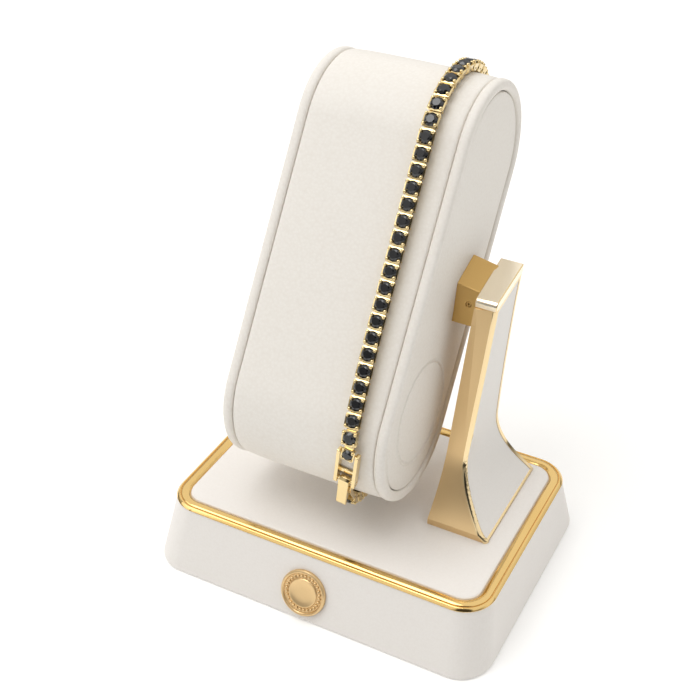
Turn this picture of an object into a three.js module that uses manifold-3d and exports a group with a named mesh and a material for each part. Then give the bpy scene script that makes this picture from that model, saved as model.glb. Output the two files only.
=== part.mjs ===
// A tennis bracelet closed round a leather pillow, on a plain display stand.
// Millimetres, +Z up. The origin is the centre of the base's underside, +Y points to the back.
import * as THREE from 'three';
import { mergeVertices } from 'three/addons/utils/BufferGeometryUtils.js';
import Module from 'manifold-3d';

const wasm = await Module();
wasm.setup();

// Base
const TRIM_WIDTH = 66.3;           // outer width of the gold moulding, along X
const TRIM_DEPTH = 46.3;           // outer depth of the gold moulding, along Y
const TRIM_TOP = 13.9;             // height of the moulding's top over the floor
const TRIM_HEIGHT = 0.75;
const TRIM_FACE = 2.8;             // width of the moulding seen from above
const TRIM_CORNER = 6.3;           // outer corner radius of the moulding
const TRIM_BEAD = 0.4;             // height of the moulding's two beads
const TRIM_GROOVE = 0.3;           // depth of the line between them
const BASE_FLARE_SIDE = 1.9;       // how much wider the base is at its foot, on each side
const BASE_FLARE_FRONT = 4.0;      // the same at the front and at the back
const BASE_EDGE = 0.9;             // rounding of the base's lower edge
const PAD_DROP = 0.1;              // how far the top pad stays below the moulding's top
const PAD_THICK = 0.5;
const PAD_CROWN = 0.3;             // width of the pad's rounded edge
const BOSS_RADIUS = 4.6;           // plain round boss on the front of the base
const BOSS_THICK = 1.1;
const BOSS_X = -1.2;
const BOSS_HEIGHT = 5.9;           // height of the boss's middle over the floor

// Pillow
const PILLOW_WIDTH = 32.8;         // over both rolled rims
const PILLOW_THICK = 29.5;         // across the flats, so the ends have half of this as radius
const PILLOW_STRAIGHT = 48.8;      // length of the flat front and back
const PILLOW_TILT = THREE.MathUtils.degToRad(33.2);
const RIM_WIDTH = 2.0;             // width of each rolled rim
const RIM_FACE = 2.1;              // how far the rim reaches in over the end
const RIM_ROLL = 0.8;              // rounding of the rim's edges
const PANEL_RECESS = 0.35;         // how far an end panel lies behind its rim
const RING_RADIUS = 9.8;           // round line pressed in the right end panel
const RING_LINE = 0.7;
const RING_DEPTH = 0.4;
const RING_DROP = 22.1;            // from the pillow's middle down to the middle of that ring

// Arm and block
const FOOT_FROM_EDGE = 18.65;      // from the moulding's outer side to the inner side of the arm's foot
const ARM_LEAN_OUT = 0.9;          // how much further out the arm's top is than its foot
const ARM_THICK = 4.0;             // above the flare
const ARM_TOP_FRONT = new THREE.Vector2(8.6, 56.3);    // y and z of the top's front edge
const ARM_TOP_BACK = new THREE.Vector2(21.1, 58.1);    // y and z of the top's back edge
const ARM_WAIST_Z = 27.0;          // where the foot starts to flare
const ARM_WAIST_FRONT = 1.5;       // y of the front edge at the waist
const ARM_WAIST_BACK = 16.9;       // y of the back edge at the waist
const ARM_BACK_CURVE = 1.5;        // how the back edge bends between the waist and the top
const FOOT_FRONT = -5.6;           // y of the foot's front edge
const FOOT_BACK = 18.6;            // y of the foot's back edge
const FOOT_THICK = 12.1;           // width of the foot along X
const FOOT_PLINTH = 1.3;           // straight part at the bottom of the foot
const ARM_BEVEL = 0.45;
const INLAY_RIM = 0.85;            // gold left round the pale inlay
const INLAY_DEPTH = 0.9;
const INLAY_PROUD = 0.1;           // how far the inlay stays below the arm's face
const BLOCK_MIDDLE = new THREE.Vector2(13.9, 54.4);    // y and z
const BLOCK_DEPTH = 7.65;          // length of its top, which rises to the back
const BLOCK_HEIGHT = 7.65;         // length of its front, which leans back
const BLOCK_RISE = THREE.MathUtils.degToRad(17);
const BLOCK_LEAN = THREE.MathUtils.degToRad(11.5);
const BLOCK_BEVEL = 0.35;

// The pillow's middle, which hangs from the arm by the block
const PILLOW_FROM_ARM = 19.8;      // from the inner side of the arm's foot, along X
const PILLOW_BACK = 9.5;
const PILLOW_HIGH = 55.4;

// Bracelet
const STONE_RADIUS = 1.28;
const TABLE_RADIUS = 0.74;
const CROWN_HEIGHT = 0.5;
const GIRDLE = 0.14;
const SETTING_LONG = 1.3;          // half length of a setting, along the bracelet
const SETTING_WIDE = 1.55;         // half width of a setting
const SETTING_BOTTOM = 1.1;        // half length and half width of a setting's lower edge
const SETTING_CUT = 0.12;          // cut-off corners of a setting
const SETTING_HEIGHT = 1.45;
const PRONG_ALONG = 0.98;          // place of a prong from the middle of its stone
const PRONG_ACROSS = 1.2;
const PRONG_SIZE = 0.24;           // half width of a prong at its foot
const PRONG_TIP = 0.17;            // half width of its tip
const PRONG_OVER = 0.3;            // how far a prong stands over the girdle
const PRONG_LEAN = 0.05;
const PRONG_ROOT = 0.1;            // part of a prong that lies in the basket
const JOINT_WIDE = 0.55;           // half width of the piece between two settings
const JOINT_HEIGHT = 0.7;
const JOINT_ROOT = 0.6;            // part of it that lies in each setting
const STONE_COUNT = 63;
const BRACELET_X = 9.6;            // from the pillow's middle to the bracelet's
const LINE_HEIGHT = 1.0;           // middle line of the settings over the leather
const LIFT_LINKS = 3;              // settings that rise towards the clasp at each end
const LAST_SHARE = 0.82;           // size of the setting in the clasp, next to the others
// The bracelet isn't quite straight: number of a setting, and how far it lies to the right.
const SWAY = [
  [0, -1.48], [1, -1.81], [4, -2.5], [10, -2.9], [24, -2.95], [30, -2.0], [36, -0.7], [42, -0.35],
  [50, -0.2], [55, -0.1], [58, 0.15], [60, 0.45], [62, 0.71],
];

// Clasp
const LAST_STONE_ANGLE = THREE.MathUtils.degToRad(24.1);  // round the pillow's lower end
const FIRST_STONE_ANGLE = THREE.MathUtils.degToRad(80);
const CLASP_SEAT = 4.35;           // from the clasp's upper pivot to where it touches nearest
const CLASP_HEIGHT = 0.85;         // its middle line over the leather there
const CLASP_TURN = THREE.MathUtils.degToRad(8.4);  // its lower end swings to the left
const RAIL_WIDTH = 0.65;
const RAIL_HALF = 0.7;             // half height of a rail, and radius of its round ends
const RAIL_LENGTH = 7.1;           // between the centres of the rail's round ends
const CROSSBAR_AT = 4.5;
const CROSSBAR_LONG = 0.7;
const CROSSBAR_TOP = 0.15;
const PIN_AT = 6.9;                // hinge pin of the lever, from the upper pivot
const PIN_RADIUS = 0.34;
const RIVET_RADIUS = 0.3;
const RIVET_PROUD = 0.12;
const LEVER_WIDE = 0.96;           // half width
const LEVER_BACK = 0.75;           // lever above its pin
const LEVER_TIP = 5.75;            // lever below its pin
const LEVER_TOP = 0.88;            // its face over the middle line
const LEVER_PLATE = 0.5;
const LEVER_CHEEK = 0.35;
const CHEEK_DEPTH = 0.1;           // cheeks below the middle line
const BARREL_RADIUS = 0.74;
const TONGUE_FROM = 7.55;
const TONGUE_WIDE = 1.34;          // half width over both side plates
const TONGUE_PLATE = 0.22;
const TONGUE_TOP = 0.1;
const CATCH_AT = 9.1;
const CATCH_RADIUS = 0.26;
const CATCH_DROP = 0.5;            // middle of the catch bar below the middle line

// Clearances
const SEAT_GAP = 0.3;              // between pieces that rest on each other in the tilted pillow
const SLIDE_GAP = 0.15;            // between a rail and the setting it holds
const PIN_GAP = 0.13;
const STRAND_GAP = 0.3;            // between the two lengths of the bracelet, and at the clasp

const leather = { color: 0xece7e0, roughness: 0.62, metalness: 0 };
const gold = { color: 0xdfae4c, roughness: 0.22, metalness: 1 };
const satinGold = { color: 0xcfae7c, roughness: 0.38, metalness: 1 };
const blackStone = { color: 0x14161a, roughness: 0.08, metalness: 0.2 };

// Solids
function toSolid(geometry) {
  const plain = geometry.clone();
  plain.deleteAttribute('normal');
  plain.deleteAttribute('uv');
  const merged = mergeVertices(plain, 1e-5);
  const vertProperties = new Float32Array(merged.attributes.position.array);
  const triVerts = new Uint32Array(merged.index.array);
  return new wasm.Manifold(new wasm.Mesh({ numProp: 3, vertProperties, triVerts }));
}

function fromSolid(solid) {
  const mesh = solid.getMesh();
  const geometry = new THREE.BufferGeometry();
  geometry.setAttribute('position', new THREE.BufferAttribute(mesh.vertProperties, 3));
  geometry.setIndex(new THREE.BufferAttribute(mesh.triVerts, 1));
  return geometry;
}

function join(geometries) {
  return geometries.map(toSolid).reduce((whole, piece) => whole.add(piece));
}

// A closed mesh from vertices and triangles, turned so that its faces point out.
function closedMesh(points, triangles) {
  let volume = 0;
  const cross = new THREE.Vector3();
  for (const [a, b, c] of triangles) {
    volume += points[a].dot(cross.crossVectors(points[b], points[c]));
  }
  const turned = volume < 0 ? triangles.map(([a, b, c]) => [a, c, b]) : triangles;
  const geometry = new THREE.BufferGeometry();
  geometry.setAttribute('position', new THREE.Float32BufferAttribute(points.flatMap((p) => p.toArray()), 3));
  geometry.setIndex(turned.flat());
  return geometry;
}

// Side walls between rings with the same number of points.
function walls(ringCount, size, closed) {
  const triangles = [];
  const last = closed ? ringCount : ringCount - 1;
  for (let r = 0; r < last; r += 1) {
    const next = (r + 1) % ringCount;
    for (let i = 0; i < size; i += 1) {
      const j = (i + 1) % size;
      triangles.push([r * size + i, r * size + j, next * size + j]);
      triangles.push([r * size + i, next * size + j, next * size + i]);
    }
  }
  return triangles;
}

// A solid through convex rings, with a flat cap at each end.
function loft(rings) {
  const size = rings[0].length;
  const triangles = walls(rings.length, size, false);
  const top = (rings.length - 1) * size;
  for (let i = 1; i < size - 1; i += 1) {
    triangles.push([0, i + 1, i]);
    triangles.push([top, top + i, top + i + 1]);
  }
  return closedMesh(rings.flat(), triangles);
}

// A ring-shaped solid: the last outline joins the first one.
function loop(rings) {
  return closedMesh(rings.flat(), walls(rings.length, rings[0].length, true));
}

function extrude(shape, depth) {
  return new THREE.ExtrudeGeometry(shape, { depth, bevelEnabled: false, curveSegments: 8 });
}

function shapeOf(points) {
  return new THREE.Shape(points.map(([a, b]) => new THREE.Vector2(a, b)));
}

// Outlines
function roundedRectangle(halfX, halfY, radius, z, segments = 5) {
  const points = [];
  const corners = [[1, 1], [-1, 1], [-1, -1], [1, -1]];
  corners.forEach(([sx, sy], corner) => {
    for (let i = 0; i <= segments; i += 1) {
      const angle = (corner + i / segments) * Math.PI / 2;
      const x = sx * (halfX - radius) + radius * Math.cos(angle);
      const y = sy * (halfY - radius) + radius * Math.sin(angle);
      points.push(new THREE.Vector3(x, y, z));
    }
  });
  return points;
}

// The pillow's outline, drawn in from its edge, in the plane x of the pillow's own frame.
function pillowOutline(inset, x, segments = 16) {
  const radius = PILLOW_THICK / 2 - inset;
  const points = [];
  for (const end of [1, -1]) {
    for (let i = 0; i <= segments; i += 1) {
      const angle = Math.PI * (i / segments) + (end === 1 ? 0 : Math.PI);
      const y = radius * Math.cos(angle);
      const z = end * PILLOW_STRAIGHT / 2 + radius * Math.sin(angle);
      points.push(new THREE.Vector3(x, y, z));
    }
  }
  return points;
}

function mesh(name, geometry, finish) {
  const made = new THREE.Mesh(geometry, new THREE.MeshStandardMaterial({ ...finish, flatShading: true }));
  made.name = name;
  return made;
}

// Base
function trimOutline(inset, z) {
  return roundedRectangle(TRIM_WIDTH / 2 - inset, TRIM_DEPTH / 2 - inset, TRIM_CORNER - inset, z);
}

function baseOutline(share, inset, z) {
  const halfX = TRIM_WIDTH / 2 + BASE_FLARE_SIDE * share - inset;
  const halfY = TRIM_DEPTH / 2 + BASE_FLARE_FRONT * share - inset;
  return roundedRectangle(halfX, halfY, TRIM_CORNER - inset, z);
}

const TRIM_BOTTOM = TRIM_TOP - TRIM_HEIGHT;
const PAD_TOP = TRIM_TOP - PAD_DROP;
const PAD_BOTTOM = PAD_TOP - PAD_THICK;

// The base's sides are straight between its lower edge and the moulding.
const SIDE_BOTTOM = { share: 1, inset: 0, z: BASE_EDGE };
const SIDE_TOP = { share: 0, inset: 0.2, z: TRIM_BOTTOM };

function baseBody() {
  return loft([
    baseOutline(1, BASE_EDGE, 0),
    baseOutline(1, BASE_EDGE * 0.3, BASE_EDGE * 0.3),
    baseOutline(SIDE_BOTTOM.share, SIDE_BOTTOM.inset, SIDE_BOTTOM.z),
    baseOutline(SIDE_TOP.share, SIDE_TOP.inset, SIDE_TOP.z),
  ]);
}

function baseTrim() {
  const bead = TRIM_FACE / 4;
  const low = TRIM_BOTTOM;
  return loop([
    trimOutline(0, low),
    trimOutline(0, TRIM_TOP - TRIM_BEAD),
    trimOutline(bead * 0.4, TRIM_TOP - TRIM_BEAD * 0.25),
    trimOutline(bead, TRIM_TOP),
    trimOutline(bead * 1.7, TRIM_TOP - TRIM_BEAD * 0.2),
    trimOutline(bead * 2, TRIM_TOP - TRIM_GROOVE),
    trimOutline(bead * 2.4, TRIM_TOP - TRIM_BEAD * 0.2),
    trimOutline(bead * 3.1, TRIM_TOP),
    trimOutline(bead * 3.7, TRIM_TOP - TRIM_BEAD * 0.3),
    trimOutline(TRIM_FACE, TRIM_TOP - TRIM_BEAD),
    trimOutline(TRIM_FACE, low),
  ]);
}

function basePad() {
  const side = TRIM_FACE + SEAT_GAP;
  return loft([
    trimOutline(side, PAD_BOTTOM),
    trimOutline(side, PAD_TOP - PAD_CROWN),
    trimOutline(side + PAD_CROWN * 0.3, PAD_TOP - PAD_CROWN * 0.3),
    trimOutline(side + PAD_CROWN, PAD_TOP),
  ]);
}

// The boss lies on the base's sloping front.
function frontBoss() {
  const rise = SIDE_TOP.z - SIDE_BOTTOM.z;
  const run = BASE_FLARE_FRONT + SIDE_TOP.inset;
  const slope = Math.atan2(run, rise);
  const frontY = -(TRIM_DEPTH / 2 + BASE_FLARE_FRONT - run * (BOSS_HEIGHT - SIDE_BOTTOM.z) / rise);
  const profile = [
    [0, 0], [BOSS_RADIUS, 0], [BOSS_RADIUS, BOSS_THICK * 0.4], [BOSS_RADIUS * 0.9, BOSS_THICK * 0.8],
    [BOSS_RADIUS * 0.72, BOSS_THICK * 0.62], [BOSS_RADIUS * 0.5, BOSS_THICK * 0.9], [0, BOSS_THICK],
  ].map(([r, h]) => new THREE.Vector2(r, h));
  const made = mesh('front_boss', new THREE.LatheGeometry(profile, 24), gold);
  made.rotation.x = Math.PI - slope;
  const out = new THREE.Vector3(0, -Math.cos(slope), Math.sin(slope)).multiplyScalar(SEAT_GAP / 2);
  made.position.set(BOSS_X, frontY, BOSS_HEIGHT).add(out);
  return made;
}

// Arm: a ring of points at each height, which leans, thins to the waist and flares at the foot.
const FOOT_BOTTOM = PAD_TOP;
const FOOT_INNER_X = TRIM_WIDTH / 2 - FOOT_FROM_EDGE;
const PILLOW_AT = new THREE.Vector3(FOOT_INNER_X - PILLOW_FROM_ARM, PILLOW_BACK, PILLOW_HIGH);

// Share of the flare at a height: 0 at the waist, 1 where the plinth starts.
function flare(z) {
  const fall = (ARM_WAIST_Z - z) / (ARM_WAIST_Z - FOOT_BOTTOM - FOOT_PLINTH);
  return THREE.MathUtils.clamp(fall, 0, 1) ** 2;
}

function armSection(z) {
  const rise = THREE.MathUtils.clamp((z - ARM_WAIST_Z) / (ARM_TOP_FRONT.y - ARM_WAIST_Z), 0, 1.05);
  const riseBack = THREE.MathUtils.clamp((z - ARM_WAIST_Z) / (ARM_TOP_BACK.y - ARM_WAIST_Z), 0, 1.05);
  const out = flare(z);
  const front = ARM_WAIST_FRONT + (ARM_TOP_FRONT.x - ARM_WAIST_FRONT) * rise;
  const back = ARM_WAIST_BACK + (ARM_TOP_BACK.x - ARM_WAIST_BACK) * riseBack ** ARM_BACK_CURVE;
  const height = (z - FOOT_BOTTOM) / (ARM_TOP_FRONT.y - FOOT_BOTTOM);
  const inner = FOOT_INNER_X + ARM_LEAN_OUT * height;
  return {
    inner,
    front: front + (FOOT_FRONT - ARM_WAIST_FRONT) * out,
    back: back + (FOOT_BACK - ARM_WAIST_BACK) * out,
    outer: inner + ARM_THICK + (FOOT_THICK - ARM_THICK) * out,
  };
}

const ARM_TOP_SLOPE = (ARM_TOP_BACK.y - ARM_TOP_FRONT.y) / (ARM_TOP_BACK.x - ARM_TOP_FRONT.x);

// The arm's top slopes, so each corner of the top ring gets its own height.
function armRing(z, bevel, shrink) {
  const { inner, front, back, outer } = armSection(z);
  const x0 = inner + shrink;
  const x1 = outer - shrink;
  const y0 = front + shrink;
  const y1 = back - shrink;
  const outline = [
    [x0, y0 + bevel], [x0 + bevel, y0], [x1 - bevel, y0], [x1, y0 + bevel],
    [x1, y1 - bevel], [x1 - bevel, y1], [x0 + bevel, y1], [x0, y1 - bevel],
  ];
  return outline.map(([x, y]) => new THREE.Vector3(x, y, z));
}

function slopeTop(ring, drop) {
  return ring.map((p) => {
    const z = ARM_TOP_FRONT.y + (p.y - ARM_TOP_FRONT.x) * ARM_TOP_SLOPE - drop;
    return new THREE.Vector3(p.x, p.y, z);
  });
}

function armHeights(from, to, count) {
  return Array.from({ length: count }, (_, i) => from + (to - from) * i / (count - 1));
}

function armSolid() {
  const plinth = FOOT_BOTTOM + FOOT_PLINTH;
  const shoulder = ARM_TOP_FRONT.y - 3;
  const rings = [armRing(FOOT_BOTTOM, ARM_BEVEL, 0)];
  for (const z of armHeights(plinth, ARM_WAIST_Z, 9)) rings.push(armRing(z, ARM_BEVEL, 0));
  for (const z of armHeights(ARM_WAIST_Z, shoulder, 6).slice(1)) rings.push(armRing(z, ARM_BEVEL, 0));
  rings.push(slopeTop(armRing(ARM_TOP_FRONT.y, ARM_BEVEL, 0), ARM_BEVEL));
  rings.push(slopeTop(armRing(ARM_TOP_FRONT.y, ARM_BEVEL, ARM_BEVEL), 0));
  return loft(rings);
}

// The inlay follows the arm's outer face. Its pocket is the same form with a margin all round.
function inlaySolid(margin, outside, inside) {
  const low = FOOT_BOTTOM + FOOT_PLINTH + INLAY_RIM * 0.6 - margin;
  const high = ARM_TOP_FRONT.y - INLAY_RIM * 1.6 + margin;
  return loft(armHeights(low, high, 13).map((z) => {
    const { front, back, outer } = armSection(z);
    const y0 = front + INLAY_RIM - margin;
    const y1 = back - INLAY_RIM + margin;
    const x0 = outer - inside;
    const x1 = outer + outside;
    return [[x0, y0], [x1, y0], [x1, y1], [x0, y1]].map(([x, y]) => new THREE.Vector3(x, y, z));
  }));
}

function arm() {
  const post = toSolid(armSolid()).subtract(toSolid(inlaySolid(SEAT_GAP / 2, 1, INLAY_DEPTH)));
  return mesh('arm_post', fromSolid(post), satinGold);
}

function armInlay() {
  return mesh('arm_inlay', inlaySolid(0, -INLAY_PROUD, INLAY_DEPTH - SEAT_GAP / 2), leather);
}

// The block runs from the pillow's end panel to the arm, whose inner side leans.
function pivotBlock() {
  const from = PILLOW_AT.x + PILLOW_WIDTH / 2 - PANEL_RECESS + SEAT_GAP;
  const a = BLOCK_DEPTH / 2;
  const b = BLOCK_HEIGHT / 2;
  const bevel = BLOCK_BEVEL;
  const back = new THREE.Vector2(Math.cos(BLOCK_RISE), Math.sin(BLOCK_RISE));
  const up = new THREE.Vector2(Math.sin(BLOCK_LEAN), Math.cos(BLOCK_LEAN));
  const outline = [
    [a, b - bevel], [a - bevel, b], [-a + bevel, b], [-a, b - bevel],
    [-a, -b + bevel], [-a + bevel, -b], [a - bevel, -b], [a, -b + bevel],
  ].map(([y, z]) => BLOCK_MIDDLE.clone().addScaledVector(back, y).addScaledVector(up, z));
  const near = outline.map((p) => new THREE.Vector3(from, p.x, p.y));
  const far = outline.map((p) => new THREE.Vector3(armSection(p.y).inner - SEAT_GAP / 2, p.x, p.y));
  return mesh('pivot_block', loft([near, far]), satinGold);
}

// Pillow, in its own tilted frame: x across, -y to the front, z along its length.
const HALF_PILLOW = PILLOW_WIDTH / 2;

function pillowBody() {
  const half = HALF_PILLOW - RIM_WIDTH - SEAT_GAP;
  return mesh('pillow_body', loft([pillowOutline(0, -half), pillowOutline(0, half)]), leather);
}

function pillowRim(name, side) {
  const outer = side * HALF_PILLOW;
  const inner = side * (HALF_PILLOW - RIM_WIDTH);
  const roll = side * RIM_ROLL;
  const rings = [
    pillowOutline(0.15, inner),
    pillowOutline(0, inner + side * 0.3),
    pillowOutline(0, outer - roll),
    pillowOutline(RIM_ROLL * 0.3, outer - roll * 0.3),
    pillowOutline(RIM_ROLL, outer),
    pillowOutline(RIM_FACE - 0.3, outer),
    pillowOutline(RIM_FACE, outer - side * 0.3),
    pillowOutline(RIM_FACE, inner),
  ];
  return mesh(name, loop(rings), leather);
}

function pillowEnd(name, side) {
  const outer = side * (HALF_PILLOW - PANEL_RECESS);
  const inner = side * (HALF_PILLOW - RIM_WIDTH);
  const inset = RIM_FACE + SEAT_GAP;
  const edge = 0.3;
  let solid = toSolid(loft([
    pillowOutline(inset, inner),
    pillowOutline(inset, outer - side * edge),
    pillowOutline(inset + edge, outer),
  ]));
  if (side > 0) {
    const profile = [
      [RING_RADIUS - RING_LINE / 2, 0], [RING_RADIUS + RING_LINE / 2, 0],
      [RING_RADIUS + RING_LINE / 2, RING_DEPTH * 2], [RING_RADIUS - RING_LINE / 2, RING_DEPTH * 2],
      [RING_RADIUS - RING_LINE / 2, 0],
    ].map(([r, h]) => new THREE.Vector2(r, h));
    const line = new THREE.LatheGeometry(profile, 32);
    line.rotateZ(-Math.PI / 2);
    line.translate(outer - RING_DEPTH, 0, -RING_DROP);
    solid = solid.subtract(toSolid(line));
  }
  return mesh(name, fromSolid(solid), leather);
}

// The bracelet's line: a closed run round the pillow at a height over its leather.
// Distance 0 is the middle of the front, and it grows downwards, under, up the back and over.
const LINE_RADIUS = PILLOW_THICK / 2 + LINE_HEIGHT;
const LINE_LENGTH = 2 * PILLOW_STRAIGHT + 2 * Math.PI * LINE_RADIUS;

function station(distance) {
  const half = PILLOW_STRAIGHT / 2;
  const turn = Math.PI * LINE_RADIUS;
  const s = THREE.MathUtils.euclideanModulo(distance, LINE_LENGTH);
  let angle;
  let middle;
  if (s < half) {
    angle = 0;
    middle = -s;
  } else if (s < half + turn) {
    angle = (s - half) / LINE_RADIUS;
    middle = -half;
  } else if (s < half + turn + PILLOW_STRAIGHT) {
    angle = Math.PI;
    middle = s - turn - PILLOW_STRAIGHT;
  } else if (s < half + 2 * turn + PILLOW_STRAIGHT) {
    angle = Math.PI + (s - half - turn - PILLOW_STRAIGHT) / LINE_RADIUS;
    middle = half;
  } else {
    angle = 2 * Math.PI;
    middle = LINE_LENGTH - s;
  }
  return { angle, middle };
}

// Placement in the pillow's frame: local x across, local y along the line, local z outwards.
function placement(angle, middle, height, side) {
  const out = new THREE.Vector3(0, -Math.cos(angle), -Math.sin(angle));
  const along = new THREE.Vector3(0, Math.sin(angle), -Math.cos(angle));
  const across = new THREE.Vector3().crossVectors(along, out);
  const place = new THREE.Matrix4().makeBasis(across, along, out);
  const at = new THREE.Vector3(side, 0, middle).addScaledVector(out, PILLOW_THICK / 2 + height);
  return place.setPosition(at);
}

// One setting with its stone, its middle line at z = 0.
const SETTING_TOP = SETTING_HEIGHT / 2;

function octagon(halfX, halfY, cut, z) {
  return [
    [halfX, halfY - cut], [halfX - cut, halfY], [-halfX + cut, halfY], [-halfX, halfY - cut],
    [-halfX, -halfY + cut], [-halfX + cut, -halfY], [halfX - cut, -halfY], [halfX, -halfY + cut],
  ].map(([x, y]) => new THREE.Vector3(x, y, z));
}

function stoneRing(radius, z) {
  return Array.from({ length: 8 }, (_, i) => {
    const angle = (i + 0.5) * Math.PI / 4;
    return new THREE.Vector3(radius * Math.cos(angle), radius * Math.sin(angle), z);
  });
}

function prong(sx, sy) {
  const square = (inward, half, z) => [[1, 1], [-1, 1], [-1, -1], [1, -1]].map(([a, b]) => {
    const x = sx * (PRONG_ACROSS - inward) + a * half;
    const y = sy * (PRONG_ALONG - inward) + b * half;
    return new THREE.Vector3(x, y, z);
  });
  return loft([
    square(0, PRONG_SIZE, SETTING_TOP - PRONG_ROOT),
    square(PRONG_LEAN, PRONG_TIP, SETTING_TOP + GIRDLE + PRONG_OVER),
  ]);
}

// The stone's pavilion is hidden in the basket, so both are one form from the lower edge to the table.
function settingWithStone() {
  const body = loft([
    octagon(SETTING_BOTTOM, SETTING_BOTTOM * 0.85, SETTING_CUT, -SETTING_TOP),
    octagon(SETTING_WIDE, SETTING_LONG, SETTING_CUT, SETTING_TOP),
    stoneRing(STONE_RADIUS * 0.93, SETTING_TOP),
    stoneRing(STONE_RADIUS, SETTING_TOP + GIRDLE),
    stoneRing(TABLE_RADIUS, SETTING_TOP + GIRDLE + CROWN_HEIGHT),
  ]);
  const prongs = [[1, 1], [-1, 1], [-1, -1], [1, -1]].map(([sx, sy]) => prong(sx, sy));
  return join([body, ...prongs]);
}

const LAST_STONE_AT = PILLOW_STRAIGHT / 2 + LAST_STONE_ANGLE * LINE_RADIUS + LINE_LENGTH;
const FIRST_STONE_AT = PILLOW_STRAIGHT / 2 + FIRST_STONE_ANGLE * LINE_RADIUS;
const PITCH = (LAST_STONE_AT - FIRST_STONE_AT) / (STONE_COUNT - 1);
const CLASP_RADIUS = PILLOW_THICK / 2 + CLASP_HEIGHT;
const CLASP_LEAN = Math.atan2(CLASP_SEAT, CLASP_RADIUS);
const CLASP_LIFT = Math.hypot(CLASP_RADIUS, CLASP_SEAT) - LINE_RADIUS;

// Height over the line: the settings next to the clasp rise to meet it.
function lift(index) {
  const fromEnd = Math.min(index, STONE_COUNT - 1 - index);
  const share = Math.max(0, 1 - fromEnd / LIFT_LINKS);
  return CLASP_LIFT * share * share;
}

// How far the bracelet lies to the right at a setting, smooth between the measured ones.
function sway(index) {
  const last = SWAY.length - 1;
  const slope = (k) => {
    const [from, to] = [SWAY[Math.max(k - 1, 0)], SWAY[Math.min(k + 1, last)]];
    return (to[1] - from[1]) / (to[0] - from[0]);
  };
  let k = 0;
  while (k < last - 1 && index > SWAY[k + 1][0]) k += 1;
  const width = SWAY[k + 1][0] - SWAY[k][0];
  const t = (index - SWAY[k][0]) / width;
  const rise = SWAY[k + 1][1] - SWAY[k][1];
  const bend = (slope(k) * (1 - t) - slope(k + 1) * t) * width - rise * (1 - 2 * t);
  return SWAY[k][1] + rise * t + t * (1 - t) * bend;
}

// The setting in the clasp turns with it, and the others follow the line.
function turn(index) {
  if (index === STONE_COUNT - 1) return -CLASP_TURN;
  const step = 0.25;
  return Math.atan2(sway(index + step) - sway(index - step), 2 * step * PITCH);
}

function linkPlace(index) {
  const { angle, middle } = station(FIRST_STONE_AT + index * PITCH);
  const place = placement(angle, middle, LINE_HEIGHT + lift(index), sway(index));
  return place.multiply(new THREE.Matrix4().makeRotationZ(turn(index)));
}

// A joint lies on the straight line between two settings' middles.
function jointPlace(from, to) {
  const a = new THREE.Vector3().setFromMatrixPosition(linkPlace(from));
  const b = new THREE.Vector3().setFromMatrixPosition(linkPlace(to));
  const along = new THREE.Vector3().subVectors(b, a).normalize();
  const out = new THREE.Vector3(1, 0, 0).cross(along).normalize();
  const across = new THREE.Vector3().crossVectors(along, out);
  const place = new THREE.Matrix4().makeBasis(across, along, out);
  return place.setPosition(a.add(b).multiplyScalar(0.5));
}

// The piece between two settings starts inside one and ends inside the next.
function strand(name, from, to) {
  const link = settingWithStone();
  const between = PITCH - 2 * SETTING_LONG + 2 * JOINT_ROOT;
  const joint = toSolid(new THREE.BoxGeometry(2 * JOINT_WIDE, between, JOINT_HEIGHT));
  const pieces = [];
  for (let i = from; i <= to; i += 1) {
    const size = i === STONE_COUNT - 1 ? LAST_SHARE : 1;
    pieces.push(link.scale(size).transform(linkPlace(i).elements));
    if (i < to) pieces.push(joint.transform(jointPlace(i, i + 1).elements));
  }
  const whole = pieces.reduce((sum, piece) => sum.add(piece));
  return mesh(name, fromSolid(whole), blackStone);
}

// Clasp, in a frame whose origin is its upper pivot: local y along the clasp, local z outwards.
function claspFrame() {
  const side = sway(STONE_COUNT - 1);
  const place = placement(LAST_STONE_ANGLE + CLASP_LEAN, -PILLOW_STRAIGHT / 2, CLASP_HEIGHT, side);
  place.multiply(new THREE.Matrix4().makeTranslation(0, -CLASP_SEAT, 0));
  return place.multiply(new THREE.Matrix4().makeRotationZ(-CLASP_TURN));
}

// A flat piece whose side view is a shape in the clasp's y and z, between two places across.
function sidePiece(shape, x0, x1) {
  const geometry = extrude(shape, x1 - x0);
  geometry.applyMatrix4(new THREE.Matrix4().makeBasis(
    new THREE.Vector3(0, 1, 0),
    new THREE.Vector3(0, 0, 1),
    new THREE.Vector3(1, 0, 0),
  ));
  geometry.translate(x0, 0, 0);
  return geometry;
}

function rod(radius, x0, x1, y, z, sides) {
  const geometry = new THREE.CylinderGeometry(radius, radius, x1 - x0, sides);
  geometry.rotateZ(Math.PI / 2);
  geometry.translate((x0 + x1) / 2, y, z);
  return geometry;
}

const RAIL_INNER = SETTING_WIDE * LAST_SHARE + SLIDE_GAP;
const RAIL_OUTER = RAIL_INNER + RAIL_WIDTH;

function railShape() {
  const shape = new THREE.Shape();
  shape.absarc(0, 0, RAIL_HALF, Math.PI * 1.5, Math.PI * 0.5, true);
  shape.absarc(RAIL_LENGTH, 0, RAIL_HALF, Math.PI * 0.5, -Math.PI * 0.5, true);
  return shape;
}

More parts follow.
